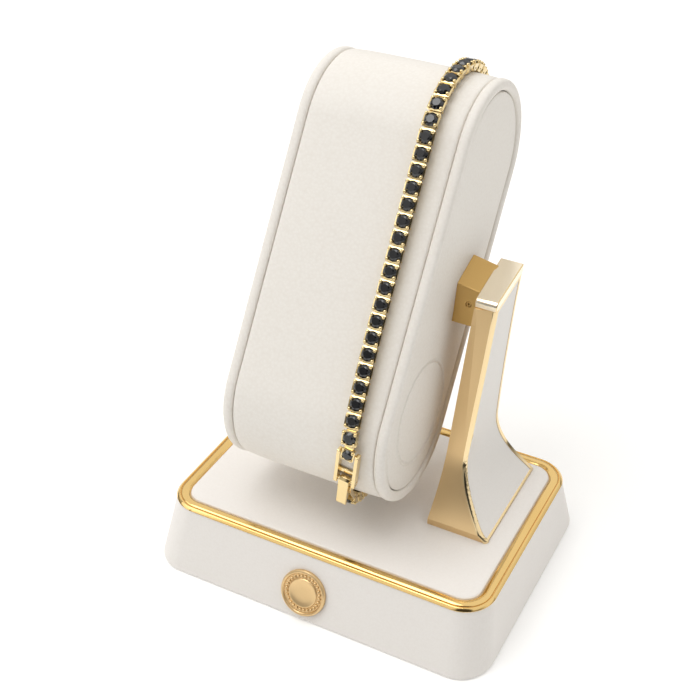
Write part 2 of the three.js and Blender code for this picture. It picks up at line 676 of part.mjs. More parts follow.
function claspRails() {
  const pieces = [
    sidePiece(railShape(), RAIL_INNER, RAIL_OUTER),
    sidePiece(railShape(), -RAIL_OUTER, -RAIL_INNER),
    sidePiece(shapeOf([
      [CROSSBAR_AT, -RAIL_HALF * 0.8], [CROSSBAR_AT + CROSSBAR_LONG, -RAIL_HALF * 0.8],
      [CROSSBAR_AT + CROSSBAR_LONG, CROSSBAR_TOP], [CROSSBAR_AT, CROSSBAR_TOP],
    ]), -RAIL_INNER - RAIL_WIDTH / 2, RAIL_INNER + RAIL_WIDTH / 2),
    rod(PIN_RADIUS, -RAIL_OUTER - RIVET_PROUD, RAIL_OUTER + RIVET_PROUD, PIN_AT, 0, 12),
  ];
  for (const side of [1, -1]) {
    const ends = [side * (RAIL_OUTER - 0.2), side * (RAIL_OUTER + RIVET_PROUD)].sort((a, b) => a - b);
    pieces.push(rod(RIVET_RADIUS, ends[0], ends[1], 0, 0, 10));
  }
  return mesh('clasp_frame', fromSolid(join(pieces)), gold);
}

function claspLever() {
  const top = LEVER_TOP;
  const under = LEVER_TOP - LEVER_PLATE;
  const back = PIN_AT - LEVER_BACK;
  const tip = PIN_AT + LEVER_TIP;
  const plate = sidePiece(shapeOf([
    [back, under], [tip - 0.35, under], [tip - 0.3, under - 0.2], [tip, under - 0.2],
    [tip, top - 0.15], [tip - 0.2, top], [back + 0.35, top], [back, top - 0.3],
  ]), -LEVER_WIDE, LEVER_WIDE);
  const cheekShape = shapeOf([
    [PIN_AT, -CHEEK_DEPTH], [tip - 1.6, -CHEEK_DEPTH], [tip - 0.9, under + 0.1], [PIN_AT, under + 0.1],
  ]);
  const cheeks = [
    sidePiece(cheekShape, LEVER_WIDE - LEVER_CHEEK, LEVER_WIDE),
    sidePiece(cheekShape, -LEVER_WIDE, -LEVER_WIDE + LEVER_CHEEK),
  ];
  const barrel = rod(BARREL_RADIUS, -LEVER_WIDE, LEVER_WIDE, PIN_AT, 0, 16);
  const bore = rod(PIN_RADIUS + PIN_GAP, -LEVER_WIDE - 1, LEVER_WIDE + 1, PIN_AT, 0, 12);
  const solid = join([plate, ...cheeks, barrel]).subtract(toSolid(bore));
  return mesh('clasp_lever', fromSolid(solid), gold);
}

// The far end's link: two side plates that come up beside the lever, with a catch bar between them.
function claspTongue(frame) {
  const first = frame.clone().invert().multiply(linkPlace(0));
  const near = new THREE.Vector3().setFromMatrixPosition(first);
  const direction = new THREE.Vector3(0, 1, 0).transformDirection(first);
  const along = new THREE.Vector2(direction.y, direction.z).normalize();
  const out = new THREE.Vector2(-along.y, along.x);
  const reach = SETTING_LONG + STRAND_GAP;
  const end = new THREE.Vector2(near.y, near.z).addScaledVector(along, -reach);
  const high = end.clone().addScaledVector(out, JOINT_HEIGHT / 2);
  const low = end.clone().addScaledVector(out, -JOINT_HEIGHT / 2);
  const shape = shapeOf([
    [TONGUE_FROM, -CATCH_DROP - CATCH_RADIUS], [CATCH_AT, -CATCH_DROP - CATCH_RADIUS - 0.1],
    [low.x, low.y], [high.x, high.y], [CATCH_AT + 0.9, TONGUE_TOP], [TONGUE_FROM, TONGUE_TOP],
  ]);
  const web = shapeOf([
    [low.x - along.x * 0.9, low.y - along.y * 0.9], [low.x, low.y],
    [high.x, high.y], [high.x - along.x * 0.9, high.y - along.y * 0.9],
  ]);
  const solid = join([
    sidePiece(shape, TONGUE_WIDE - TONGUE_PLATE, TONGUE_WIDE),
    sidePiece(shape, -TONGUE_WIDE, -TONGUE_WIDE + TONGUE_PLATE),
    sidePiece(web, -TONGUE_WIDE + 0.1, TONGUE_WIDE - 0.1),
    rod(CATCH_RADIUS, -TONGUE_WIDE + 0.1, TONGUE_WIDE - 0.1, CATCH_AT, -CATCH_DROP, 10),
  ]);
  return mesh('clasp_tongue', fromSolid(solid), gold);
}

// Assembly
const stand = new THREE.Group();
stand.add(mesh('base_body', baseBody(), leather));
stand.add(mesh('base_trim', baseTrim(), gold));
stand.add(mesh('base_pad', basePad(), leather));
stand.add(frontBoss());
stand.add(arm());
stand.add(armInlay());
stand.add(pivotBlock());

const pillow = new THREE.Group();
pillow.position.copy(PILLOW_AT);
pillow.rotation.x = -PILLOW_TILT;
pillow.add(pillowBody());
pillow.add(pillowRim('pillow_rim_left', -1));
pillow.add(pillowRim('pillow_rim_right', 1));
pillow.add(pillowEnd('pillow_end_left', -1));
pillow.add(pillowEnd('pillow_end_right', 1));

const bracelet = new THREE.Group();
bracelet.position.x = BRACELET_X;
const MIDDLE_LINK = Math.floor(STONE_COUNT / 2);
bracelet.add(strand('strand_back', 0, MIDDLE_LINK));
bracelet.add(strand('strand_front', MIDDLE_LINK + 1, STONE_COUNT - 1));

const clasp = new THREE.Group();
const claspPlace = claspFrame();
claspPlace.decompose(clasp.position, clasp.quaternion, clasp.scale);
clasp.add(claspRails());
clasp.add(claspLever());
clasp.add(claspTongue(claspPlace));
bracelet.add(clasp);
pillow.add(bracelet);

const display = new THREE.Group();
display.add(stand);
display.add(pillow);

export default display;
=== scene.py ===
"""A tennis bracelet closed round a leather pillow, on a plain display stand."""

import math

import bmesh
import bpy
from mathutils import Matrix, Vector


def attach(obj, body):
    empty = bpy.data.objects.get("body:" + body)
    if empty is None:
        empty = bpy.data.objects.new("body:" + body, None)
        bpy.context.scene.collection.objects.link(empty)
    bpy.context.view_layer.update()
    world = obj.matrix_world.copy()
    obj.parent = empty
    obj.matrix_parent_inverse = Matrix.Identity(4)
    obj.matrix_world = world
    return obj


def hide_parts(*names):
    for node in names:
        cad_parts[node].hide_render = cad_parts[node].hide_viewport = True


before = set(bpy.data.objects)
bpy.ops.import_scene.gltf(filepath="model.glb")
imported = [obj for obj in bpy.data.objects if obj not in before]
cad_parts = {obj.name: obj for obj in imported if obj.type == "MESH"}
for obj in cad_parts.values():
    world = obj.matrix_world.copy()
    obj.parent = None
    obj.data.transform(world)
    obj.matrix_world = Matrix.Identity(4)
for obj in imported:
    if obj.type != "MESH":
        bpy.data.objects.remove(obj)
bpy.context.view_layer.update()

# Every piece is modelled in millimetres and turned to metres when it is put in its place.
MM = 0.001

# Base
TRIM_WIDTH = 66.3
TRIM_DEPTH = 46.3
TRIM_TOP = 13.9
TRIM_BOTTOM = 13.15
TRIM_CORNER = 6.3
BASE_FLARE_SIDE = 1.9
BASE_FLARE_FRONT = 4.0
BASE_EDGE = 0.9
PAD_TOP = 13.8
BOSS_RADIUS = 4.6
BOSS_X = -1.2
BOSS_HEIGHT = 5.9

# Pillow
PILLOW_WIDTH = 32.8
PILLOW_THICK = 29.5
PILLOW_STRAIGHT = 48.8
PILLOW_LONG = PILLOW_THICK + PILLOW_STRAIGHT
PILLOW_TILT = -33.2
PILLOW_AT = (-5.3, 9.5, 55.4)
RING_RADIUS = 9.8
RING_DROP = 22.1
RING_HEIGHT = 16.17
RING_LINE = 0.42

# Arm and block
FOOT_INNER_X = 14.5
ARM_TOP_INNER_X = 15.4
ARM_THICK = 4.0
ARM_TOP_FRONT = (8.6, 56.3)
ARM_TOP_BACK = (21.1, 58.1)
ARM_WAIST_Z = 27.0
ARM_WAIST_FRONT = 1.5
ARM_WAIST_BACK = 16.9
ARM_BACK_CURVE = 1.5
FOOT_FRONT = -5.6
FOOT_BACK = 18.6
FOOT_THICK = 12.1
FOOT_PLINTH = 1.3
FOOT_RIM = 0.35
BLOCK_DEPTH = 7.65
BLOCK_HEIGHT = 7.65
BLOCK_MIDDLE = (13.9, 54.4)
BLOCK_RISE = math.radians(17)
BLOCK_LEAN = math.radians(11.5)

# Bracelet
STONE_RADIUS = 1.23
TABLE_RADIUS = 0.72
CROWN_HEIGHT = 0.44
GIRDLE = 0.12
SETTING_TOP = 0.725
PRONG_RADIUS = 0.2
BEAD_RADIUS = 0.33
BEAD_FLATNESS = 0.85
STONE_COUNT = 63
FIRST_FRONT_LINK = 32
BRACELET_X = 9.6
LINE_HEIGHT = 1.0
LIFT_LINKS = 3
FIRST_STONE_ANGLE = math.radians(80)
LAST_STONE_ANGLE = math.radians(24.1)
LAST_SHARE = 0.82
# The number of a setting, and how far the bracelet lies to the right there.
SWAY = [
    (0, -1.48), (1, -1.81), (4, -2.5), (10, -2.9), (24, -2.95), (30, -2.0), (36, -0.7), (42, -0.35),
    (50, -0.2), (55, -0.1), (58, 0.15), (60, 0.45), (62, 0.71),
]

# Clasp
CLASP_SEAT = 4.35
CLASP_HEIGHT = 0.85
CLASP_TURN = math.radians(8.4)
RAIL_INNER = 1.42
RAIL_OUTER = 2.07
RAIL_HALF = 0.7
RAIL_LENGTH = 7.1
PIN_AT = 6.9
LEVER_WIDE = 0.96
LEVER_TOP = 0.88
TONGUE_INNER = 1.12
TONGUE_OUTER = 1.34


def linear(colour):
    """Turns an sRGB hex value to the linear colour that a shader takes."""
    channels = [int(colour[i:i + 2], 16) / 255 for i in (1, 3, 5)]
    return [c / 12.92 if c <= 0.04045 else ((c + 0.055) / 1.055) ** 2.4 for c in channels] + [1]


def feed(tree, node, values=(), links=()):
    """Gives a node the values of its inputs, and what feeds them."""
    for name, value in dict(values).items():
        node.inputs[name].default_value = value
    for name, source in dict(links).items():
        tree.links.new(source, node.inputs[name])


def add(tree, kind, settings=(), values=(), links=()):
    """Adds one node, with its settings, the values of its inputs, and what feeds them."""
    made = tree.nodes.new(kind)
    for name, value in dict(settings).items():
        setattr(made, name, value)
    feed(tree, made, values, links)
    return made


def span(start, end, low=0.0, high=1.0):
    """The four values that turn one range into another."""
    return {"From Min": start, "From Max": end, "To Min": low, "To Max": high}


def new_material(name):
    """A new material: itself, its nodes, its shader and the coordinates of the object."""
    made = bpy.data.materials.new(name)
    made.use_nodes = True
    tree = made.node_tree
    place = add(tree, "ShaderNodeTexCoord").outputs["Object"]
    return made, tree, tree.nodes["Principled BSDF"], place


def only(piece):
    """Makes this piece the only one that an operator acts on."""
    bpy.ops.object.select_all(action="DESELECT")
    piece.select_set(True)
    bpy.context.view_layer.objects.active = piece


def open_up(piece):
    """Starts shaping a piece, with nothing of it selected."""
    only(piece)
    bpy.ops.object.mode_set(mode="EDIT")
    bpy.ops.mesh.select_mode(type="FACE")
    bpy.ops.mesh.select_all(action="DESELECT")


def close_up():
    """Ends the shaping."""
    bpy.ops.object.mode_set(mode="OBJECT")


def middle(part):
    """The middle of a face, an edge or a corner."""
    corners = getattr(part, "verts", None) or [part]
    return sum((v.co for v in corners), Vector()) / len(corners)


def run_of(edge):
    """The direction of an edge."""
    return (edge.verts[1].co - edge.verts[0].co).normalized()


def pick(kind, test):
    """Selects the faces, edges or corners that pass a test, and returns how many they are."""
    bpy.ops.mesh.select_mode(type=kind)
    bpy.ops.mesh.select_all(action="DESELECT")
    data = bpy.context.object.data
    shape = bmesh.from_edit_mesh(data)
    parts = {"FACE": shape.faces, "EDGE": shape.edges, "VERT": shape.verts}[kind]
    found = [part for part in parts if test(part)]
    for part in found:
        part.select_set(True)
    shape.select_flush_mode()
    bmesh.update_edit_mesh(data)
    return len(found)


def flat_at(height):
    """A test for faces that lie flat at a height."""
    return lambda face: all(abs(v.co.z - height) < 1e-4 for v in face.verts)


def pick_open_edges():
    """Selects the edges where a shape is open."""
    bpy.ops.mesh.select_mode(type="EDGE")
    bpy.ops.mesh.select_all(action="DESELECT")
    bpy.ops.mesh.select_non_manifold(extend=False)


def primitive(operator, name, **settings):
    """Adds a primitive with nothing else selected, to be shaped further."""
    bpy.ops.object.select_all(action="DESELECT")
    operator(**settings)
    piece = bpy.context.object
    piece.name = name
    return piece


def freeze():
    """Puts the place, turn and size of the selected object into its mesh."""
    bpy.ops.object.transform_apply(location=True, rotation=True, scale=True)


def block(name, low, high):
    """A box between two corners, to be shaped further."""
    centre = [(a + b) / 2 for a, b in zip(low, high)]
    size = [b - a for a, b in zip(low, high)]
    piece = primitive(bpy.ops.mesh.primitive_cube_add, name, size=1, location=centre)
    bpy.ops.transform.resize(value=size)
    freeze()
    return piece


def rod(name, radius, start, end, sides, tip=None):
    """A rod between two points, thinner at its end where a tip is given."""
    start, end = Vector(start), Vector(end)
    along = end - start
    turn = along.to_track_quat("Z", "Y").to_euler()
    piece = primitive(bpy.ops.mesh.primitive_cone_add, name, vertices=sides, radius1=radius,
                      radius2=radius if tip is None else tip,
                      depth=along.length, location=(start + end) / 2, rotation=turn)
    freeze()
    return piece


def plate(name, width, depth, corner, height, steps):
    """A flat plate with round corners. It is left open for shaping, with its face selected."""
    piece = primitive(bpy.ops.mesh.primitive_plane_add, name, size=1, location=(0, 0, height))
    bpy.ops.transform.resize(value=(width, depth, 1))
    freeze()
    open_up(piece)
    bpy.ops.mesh.select_all(action="SELECT")
    bpy.ops.mesh.bevel(offset=corner, segments=steps, affect="VERTICES", clamp_overlap=False)
    bpy.ops.mesh.select_all(action="SELECT")
    bpy.ops.mesh.remove_doubles(threshold=0.05)
    return piece


def step_face(width, depth, profile):
    """Steps the selected face through a profile of (distance in from the full size, height)."""
    inset, height = profile[0]
    for next_inset, next_height in profile[1:]:
        rise = next_height - height
        if next_inset > inset:
            bpy.ops.mesh.inset(thickness=next_inset - inset, depth=rise, use_even_offset=True)
        else:
            bpy.ops.mesh.extrude_region_move(TRANSFORM_OT_translate={"value": (0, 0, rise)})
            if next_inset < inset:
                bpy.ops.transform.resize(
                    value=((width - 2 * next_inset) / (width - 2 * inset),
                           (depth - 2 * next_inset) / (depth - 2 * inset), 1),
                    center_override=(0, 0, next_height))
        inset, height = next_inset, next_height


def remove(test):
    """Takes away the faces that pass a test."""
    if pick("FACE", test):
        bpy.ops.mesh.delete(type="FACE")


def fill_bottom(height):
    """Closes a shape at a height, where it has no face yet."""
    if not pick("FACE", flat_at(height)):
        pick_open_edges()
        bpy.ops.mesh.edge_face_add()


def face_outwards(threshold=1e-4):
    """Merges doubled corners and turns every face outwards."""
    bpy.ops.mesh.select_all(action="SELECT")
    bpy.ops.mesh.remove_doubles(threshold=threshold)
    bpy.ops.mesh.normals_make_consistent(inside=False)


def leave_ring():
    """Ends a stepped plate as a ring: its two large faces go, and a strip joins their edges."""
    bpy.ops.mesh.delete(type="FACE")
    remove(lambda face: len(face.verts) > 8)
    pick_open_edges()
    bpy.ops.mesh.bridge_edge_loops()
    face_outwards()
    close_up()


def apply_modifier(piece, kind, **settings):
    """Adds a modifier with its settings and applies it."""
    only(piece)
    modifier = piece.modifiers.new(kind.title(), kind)
    for name, value in settings.items():
        setattr(modifier, name, value)
    bpy.ops.object.modifier_apply(modifier=modifier.name)


def round_edges(piece, width, segments=2, angle=35.0, material=-1):
    """Rounds the sharp edges of a piece."""
    apply_modifier(piece, "BEVEL", width=width, segments=segments, limit_method="ANGLE",
                   angle_limit=math.radians(angle), material=material, use_clamp_overlap=True)


def combine(piece, other, operation):
    """Adds another piece to a piece, or cuts it out of the piece."""
    apply_modifier(piece, "BOOLEAN", object=other, operation=operation, solver="EXACT")
    bpy.data.objects.remove(other)


def weld(pieces, name):
    """Makes several pieces one."""
    only(pieces[0])
    for piece in pieces:
        piece.select_set(True)
    bpy.ops.object.join()
    freeze()
    bpy.context.object.name = name
    return bpy.context.object


def settle(piece, place=None):
    """Puts a piece in its place, in metres, with its object at the origin."""
    only(piece)
    piece.matrix_world = Matrix.Scale(MM, 4) @ (place or Matrix.Identity(4))
    freeze()
    return piece


def dress(piece, finish, nodes=(), body="root", angle=30.0):
    """Gives a settled piece its finish, and says what it rides on and stands for."""
    only(piece)
    bpy.ops.object.shade_smooth_by_angle(angle=math.radians(angle))
    apply_modifier(piece, "WEIGHTED_NORMAL", keep_sharp=True, weight=80)
    if finish.name not in [m.name for m in piece.data.materials if m]:
        piece.data.materials.clear()
        piece.data.materials.append(finish)
    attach(piece, body)
    if nodes:
        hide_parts(*nodes)
    return piece


def frame_of(across, along, out, at):
    """A place whose x, y and z run along three directions."""
    place = Matrix((across, along, out)).transposed().to_4x4()
    place.translation = Vector(at)
    return place


PILLOW = Matrix.Translation(PILLOW_AT) @ Matrix.Rotation(math.radians(PILLOW_TILT), 4, "X")
# A plate drawn flat, with its face up, is turned so that its face looks out of a pillow's end.
RIGHT_END = PILLOW @ frame_of((0, 1, 0), (0, 0, 1), (1, 0, 0), (0, 0, 0))
LEFT_END = PILLOW @ frame_of((0, -1, 0), (0, 0, 1), (-1, 0, 0), (0, 0, 0))


# Materials

def fine_leather(name, colour, crease_shade_and_cloud_colour, grain, relief, roughness):
    """Off-white coated leather, embossed with a fine grain: a soft satin surface whose small rounded
    cells catch the light, with fine creases between them and faint cloudy tones.
    The colour darkens towards the edges of the cells as painted shade in the creases; the cloudy tones
    vary at random."""
    made, tree, shader, place = new_material(name)
    # The cells are as wide as the grain of small leather goods, drawn a little coarse to show.
    cells = add(tree, "ShaderNodeTexVoronoi", {"feature": "SMOOTH_F1"},
                {"Scale": 1 / (grain * MM), "Smoothness": 0.6, "Randomness": 1.0}, {"Vector": place})
    pores = add(tree, "ShaderNodeTexNoise", {},
                {"Scale": 1 / (0.45 * grain * MM), "Detail": 3.0, "Roughness": 0.6}, {"Vector": place})
    clouds = add(tree, "ShaderNodeTexNoise", {},
                 {"Scale": 1 / (9 * MM), "Detail": 2.0, "Roughness": 0.5}, {"Vector": place})
    height = add(tree, "ShaderNodeMath", {"operation": "MULTIPLY_ADD"}, {1: 0.55},
                 {0: pores.outputs["Fac"], 2: cells.outputs["Distance"]})
    # Painted shade: the colour darkens towards the cell edges, in the creases, together with cloudy
    # tone that varies at random.
    tone = add(tree, "ShaderNodeMath", {"operation": "MULTIPLY_ADD"}, {1: 0.3},
               {0: clouds.outputs["Fac"], 2: cells.outputs["Distance"]})
    share = add(tree, "ShaderNodeMapRange", {},
                span(0.1, 1.3, 0.0, 0.8), {"Value": tone.outputs[0]})
    mixed = add(tree, "ShaderNodeMix", {"data_type": "RGBA"},
                {6: linear(colour), 7: linear(crease_shade_and_cloud_colour)}, {0: share.outputs[0]})
    rough = add(tree, "ShaderNodeMapRange", {},
                span(0.3, 0.7, roughness - 0.05, roughness + 0.07), {"Value": pores.outputs["Fac"]})
    bump = add(tree, "ShaderNodeBump", {}, {"Strength": 1.0, "Distance": relief * MM},
               {"Height": height.outputs[0]})
    feed(tree, shader, {"IOR": 1.46, "Specular IOR Level": 0.4},
         {"Base Color": mixed.outputs[2], "Roughness": rough.outputs[0], "Normal": bump.outputs[0]})
    return made


def gold(name, colour, deep, roughness, spread, hair, hair_length, relief):
    """Gold plating on brass: a metal whose tone deepens a little in patches, with hairlines from
    its finishing, long and fine where it is brushed and hardly there where it is polished."""
    made, tree, shader, place = new_material(name)
    # The hairlines run along the height of the piece.
    stretch = add(tree, "ShaderNodeMapping", {},
                  {"Scale": (1 / (hair * MM), 1 / (hair * MM), 1 / (hair_length * MM))},
                  {"Vector": place})
    hairs = add(tree, "ShaderNodeTexNoise", {}, {"Scale": 1.0, "Detail": 3.0, "Roughness": 0.6},
                {"Vector": stretch.outputs[0]})
    patches = add(tree, "ShaderNodeTexNoise", {}, {"Scale": 1 / (14 * MM), "Detail": 1.0},
                  {"Vector": place})
    share = add(tree, "ShaderNodeMapRange", {},
                span(0.3, 0.8, 0.0, 0.4), {"Value": patches.outputs["Fac"]})
    mixed = add(tree, "ShaderNodeMix", {"data_type": "RGBA"},
                {6: linear(colour), 7: linear(deep)}, {0: share.outputs[0]})
    rough = add(tree, "ShaderNodeMapRange", {},
                span(0.3, 0.7, roughness, roughness + spread), {"Value": hairs.outputs["Fac"]})
    bump = add(tree, "ShaderNodeBump", {}, {"Strength": 1.0, "Distance": relief * MM},
               {"Height": hairs.outputs["Fac"]})
    feed(tree, shader, {"Metallic": 1.0},
         {"Base Color": mixed.outputs[2], "Roughness": rough.outputs[0], "Normal": bump.outputs[0]})
    return made


def black_spinel(name):
    """Cut and polished black spinel: nearly black, with a glassy lustre on flat facets. A trace
    of grey cloud lies in it, and fine polishing lines soften some facets."""
    made, tree, shader, place = new_material(name)
    clouds = add(tree, "ShaderNodeTexNoise", {}, {"Scale": 1 / (0.9 * MM), "Detail": 2.0},
                 {"Vector": place})
    mixed = add(tree, "ShaderNodeMix", {"data_type": "RGBA"},
                {6: linear("#040506"), 7: linear("#101114")}, {0: clouds.outputs["Fac"]})
    rough = add(tree, "ShaderNodeMapRange", {},
                span(0.3, 0.7, 0.04, 0.12), {"Value": clouds.outputs["Fac"]})
    feed(tree, shader, {"IOR": 1.72},
         {"Base Color": mixed.outputs[2], "Roughness": rough.outputs[0]})
    return made


STAND_LEATHER = fine_leather("leather_off_white_fine_grain", "#EFEBE4", "#E6E0D7", 0.55, 0.022, 0.5)
BASE_LEATHER = fine_leather("leather_off_white_smooth", "#EEEAE5", "#E9E4DE", 0.45, 0.01, 0.46)
INLAY_LEATHER = fine_leather("leather_inlay_smooth", "#EEEBE6", "#E9E5E0", 0.4, 0.004, 0.4)
SATIN_GOLD = gold("champagne_gold_satin_brushed", "#E4C594", "#D9B884", 0.32, 0.06, 0.16, 9.0, 0.0006)
# The cap's gold is the arm's satin gold painted paler: a painted highlight on the cap's top.
CAP_GOLD_PAINTED_HIGHLIGHT = gold("champagne_gold_painted_highlight", "#FFF3DC", "#FBEBCD", 0.18, 0.05, 0.16, 9.0, 0.0004)
# The block's gold is the arm's satin gold painted deeper: painted shade where the block sits by the
# shaded pillow end.
BLOCK_GOLD_PAINTED_SHADE = gold("champagne_gold_painted_shade", "#CCA86A", "#BC9656", 0.34, 0.06, 0.16, 9.0, 0.0006)
RIM_GOLD = gold("champagne_gold_polished", "#F2DBAE", "#E9CB92", 0.1, 0.03, 0.3, 3.0, 0.0002)
TRIM_GOLD = gold("yellow_gold_plated_bright", "#EDCB88", "#E2B669", 0.09, 0.04, 0.3, 2.0, 0.0003)
CHAIN_GOLD = gold("yellow_gold_cast_polished", "#EFD9A6", "#E0BF80", 0.14, 0.05, 0.3, 0.6, 0.001)
STONE_BLACK = black_spinel("black_spinel_cut_polished")


# Base

def base_leather():
    """The leather-covered base: straight sloping sides and a rolled lower edge."""
    inset = 0.2
    width = TRIM_WIDTH - 2 * inset
    depth = TRIM_DEPTH - 2 * inset
    piece = block("base_leather", (-width / 2, -depth / 2, 0),
                  (width / 2, depth / 2, TRIM_BOTTOM + 0.1))
    open_up(piece)
    pick("EDGE", lambda e: abs(run_of(e).z) > 0.9)
    bpy.ops.mesh.bevel(offset=TRIM_CORNER - inset, segments=14, affect="EDGES", clamp_overlap=False)
    pick("VERT", lambda v: v.co.z < 0.1)
    bpy.ops.transform.resize(value=((TRIM_WIDTH + 2 * BASE_FLARE_SIDE) / width,
                                    (TRIM_DEPTH + 2 * BASE_FLARE_FRONT) / depth, 1),
                             center_override=(0, 0, 0))
    pick("EDGE", lambda e: middle(e).z < 0.1)
    bpy.ops.mesh.bevel(offset=BASE_EDGE, segments=5, affect="EDGES")
    face_outwards()
    close_up()
    return dress(settle(piece), BASE_LEATHER, ["base_body"])


def gold_moulding():
    """The gold moulding: a flat outer lip, a fine groove and a broad bead that falls inwards."""
    profile = [
        (0.0, TRIM_BOTTOM), (0.0, 13.19), (0.03, 13.25), (0.43, 13.6), (0.5, 13.65), (0.6, 13.67),
        (0.7, 13.64), (0.75, 13.56), (0.78, 13.47), (0.85, 13.47), (0.88, 13.56), (0.94, 13.66),
        (1.08, 13.75), (1.28, 13.83), (1.5, 13.88), (1.74, TRIM_TOP), (1.98, 13.88), (2.2, 13.8),
        (2.42, 13.68), (2.59, 13.52), (2.7, 13.36), (2.74, TRIM_BOTTOM),
    ]
    piece = plate("gold_moulding", TRIM_WIDTH, TRIM_DEPTH, TRIM_CORNER, TRIM_BOTTOM, 16)
    step_face(TRIM_WIDTH, TRIM_DEPTH, profile)
    leave_ring()
    return dress(settle(piece), TRIM_GOLD, ["base_trim"], angle=40)


def top_pad():
    """The leather pad that fills the moulding: flat, with a soft rolled edge."""
    profile = [
        (2.8, 13.25), (2.8, 13.46), (2.83, 13.56), (2.91, 13.65), (3.05, 13.72), (3.28, 13.765),
        (3.6, 13.79), (4.2, PAD_TOP), (6.0, PAD_TOP),
    ]
    start, low = profile[0]
    piece = plate("top_pad", TRIM_WIDTH - 2 * start, TRIM_DEPTH - 2 * start, TRIM_CORNER - start,
                  low, 12)
    step_face(TRIM_WIDTH, TRIM_DEPTH, profile)
    fill_bottom(low)
    face_outwards()
    close_up()
    dress(settle(piece), BASE_LEATHER, ["base_pad"], angle=40)
    return piece


def round_boss():
    """A plain round boss: a bead round its edge, a ring of small beads and a shallow dish."""
    slope = math.atan2(BASE_FLARE_FRONT + 0.2, TRIM_BOTTOM - BASE_EDGE)
    front = -(TRIM_DEPTH / 2 + BASE_FLARE_FRONT
              - (BASE_FLARE_FRONT + 0.2) * (BOSS_HEIGHT - BASE_EDGE) / (TRIM_BOTTOM - BASE_EDGE))
    piece = primitive(bpy.ops.mesh.primitive_circle_add, "round_boss", vertices=72,
                      radius=BOSS_RADIUS, fill_type="NGON")
    open_up(piece)
    bpy.ops.mesh.select_all(action="SELECT")
    profile = [
        (0.0, 0.0), (0.0, 0.3), (0.05, 0.48), (0.17, 0.62), (0.36, 0.68), (0.55, 0.62), (0.67, 0.48),
        (0.72, 0.38), (0.86, 0.36), (1.5, 0.36), (1.62, 0.4), (1.68, 0.52), (1.78, 0.6), (1.94, 0.62),
        (2.1, 0.57), (2.4, 0.5), (3.0, 0.44), (3.8, 0.41),
    ]
    step_face(2 * BOSS_RADIUS, 2 * BOSS_RADIUS, profile)
    face_outwards()
    close_up()
    beads = []
    count, bead_radius, ring_radius, bead_height = 28, 0.34, 3.42, 0.36
    for i in range(count):
        turn = math.tau * i / count
        at = (ring_radius * math.cos(turn), ring_radius * math.sin(turn), bead_height)
        beads.append(primitive(bpy.ops.mesh.primitive_ico_sphere_add, "bead", subdivisions=2,
                               radius=bead_radius, location=at))
    piece = weld([piece] + beads, "round_boss")
    out = Vector((0, -math.cos(slope), math.sin(slope)))
    up = Vector((0, math.sin(slope), math.cos(slope)))
    place = frame_of((1, 0, 0), up, out, Vector((BOSS_X, front, BOSS_HEIGHT)) - 0.02 * out)
    return dress(settle(piece, place), SATIN_GOLD, ["front_boss"])


# Pillow

def pillow_plate(name, profile):
    """A plate in the pillow's outline, stepped through a profile."""
    start, low = profile[0]
    corner = (PILLOW_THICK / 2 - start) * 0.9995
    piece = plate(name, PILLOW_THICK - 2 * start, PILLOW_LONG - 2 * start, corner, low, 26)
    step_face(PILLOW_THICK, PILLOW_LONG, profile)
    return piece


def pillow_leather():
    """The pillow's wrap: leather drawn tight round the long sides, which tucks into the seam
    beside each rolled rim."""
    crown = 0.12
    profile = [
        (-crown, 0.0), (-crown * 0.97, 3.0), (-crown * 0.85, 6.0), (-crown * 0.6, 8.6), (-0.03, 11.2),
        (0.03, 12.6), (0.08, 13.4), (0.15, 13.85), (0.27, 14.12), (0.5, 14.28), (0.95, 14.34),
    ]
    piece = pillow_plate("pillow_leather", profile)
    remove(flat_at(0))
    close_up()
    apply_modifier(piece, "MIRROR", use_axis=(False, False, True), merge_threshold=1e-3)
    open_up(piece)
    face_outwards()
    close_up()
    dress(settle(piece, RIGHT_END), STAND_LEATHER, ["pillow_body"], angle=50)
    return piece


def rolled_rim(side, node, place):
    """A rolled leather rim round one end of the pillow."""
    profile = [
        (0.95, 14.36), (0.45, 14.42), (0.2, 14.56), (0.06, 14.8), (0.0, 15.12), (0.02, 15.5),
        (0.1, 15.86), (0.25, 16.13), (0.48, 16.31), (0.8, 16.39), (1.2, 16.38), (1.55, 16.3),
        (1.8, 16.18), (1.96, 15.98), (2.04, 15.7), (2.06, 15.3), (2.06, 14.4),
    ]
    piece = pillow_plate(f"rolled_rim_{side}", profile)
    leave_ring()
    return dress(settle(piece, place), STAND_LEATHER, [node], angle=50)


def end_panel(side, node, place):
    """A leather panel let into one end of the pillow. The right one has a round pressed line."""
    profile = [
        (2.2, 14.5), (2.2, 15.6), (2.24, 15.82), (2.36, 15.96), (2.6, 16.02), (3.0, 16.04),
        (3.6, 16.05),
    ]
    piece = pillow_plate(f"end_panel_{side}", profile)
    fill_bottom(profile[0][1])
    face_outwards()
    close_up()
    if side == "right":
        line = primitive(bpy.ops.mesh.primitive_torus_add, "pressed_line",
                         location=(0, -RING_DROP, RING_HEIGHT), major_radius=RING_RADIUS,
                         minor_radius=RING_LINE, major_segments=96, minor_segments=16)
        combine(piece, line, "DIFFERENCE")
        round_edges(piece, 0.12, angle=25)
    return dress(settle(piece, place), STAND_LEATHER, [node], angle=50)


# Arm

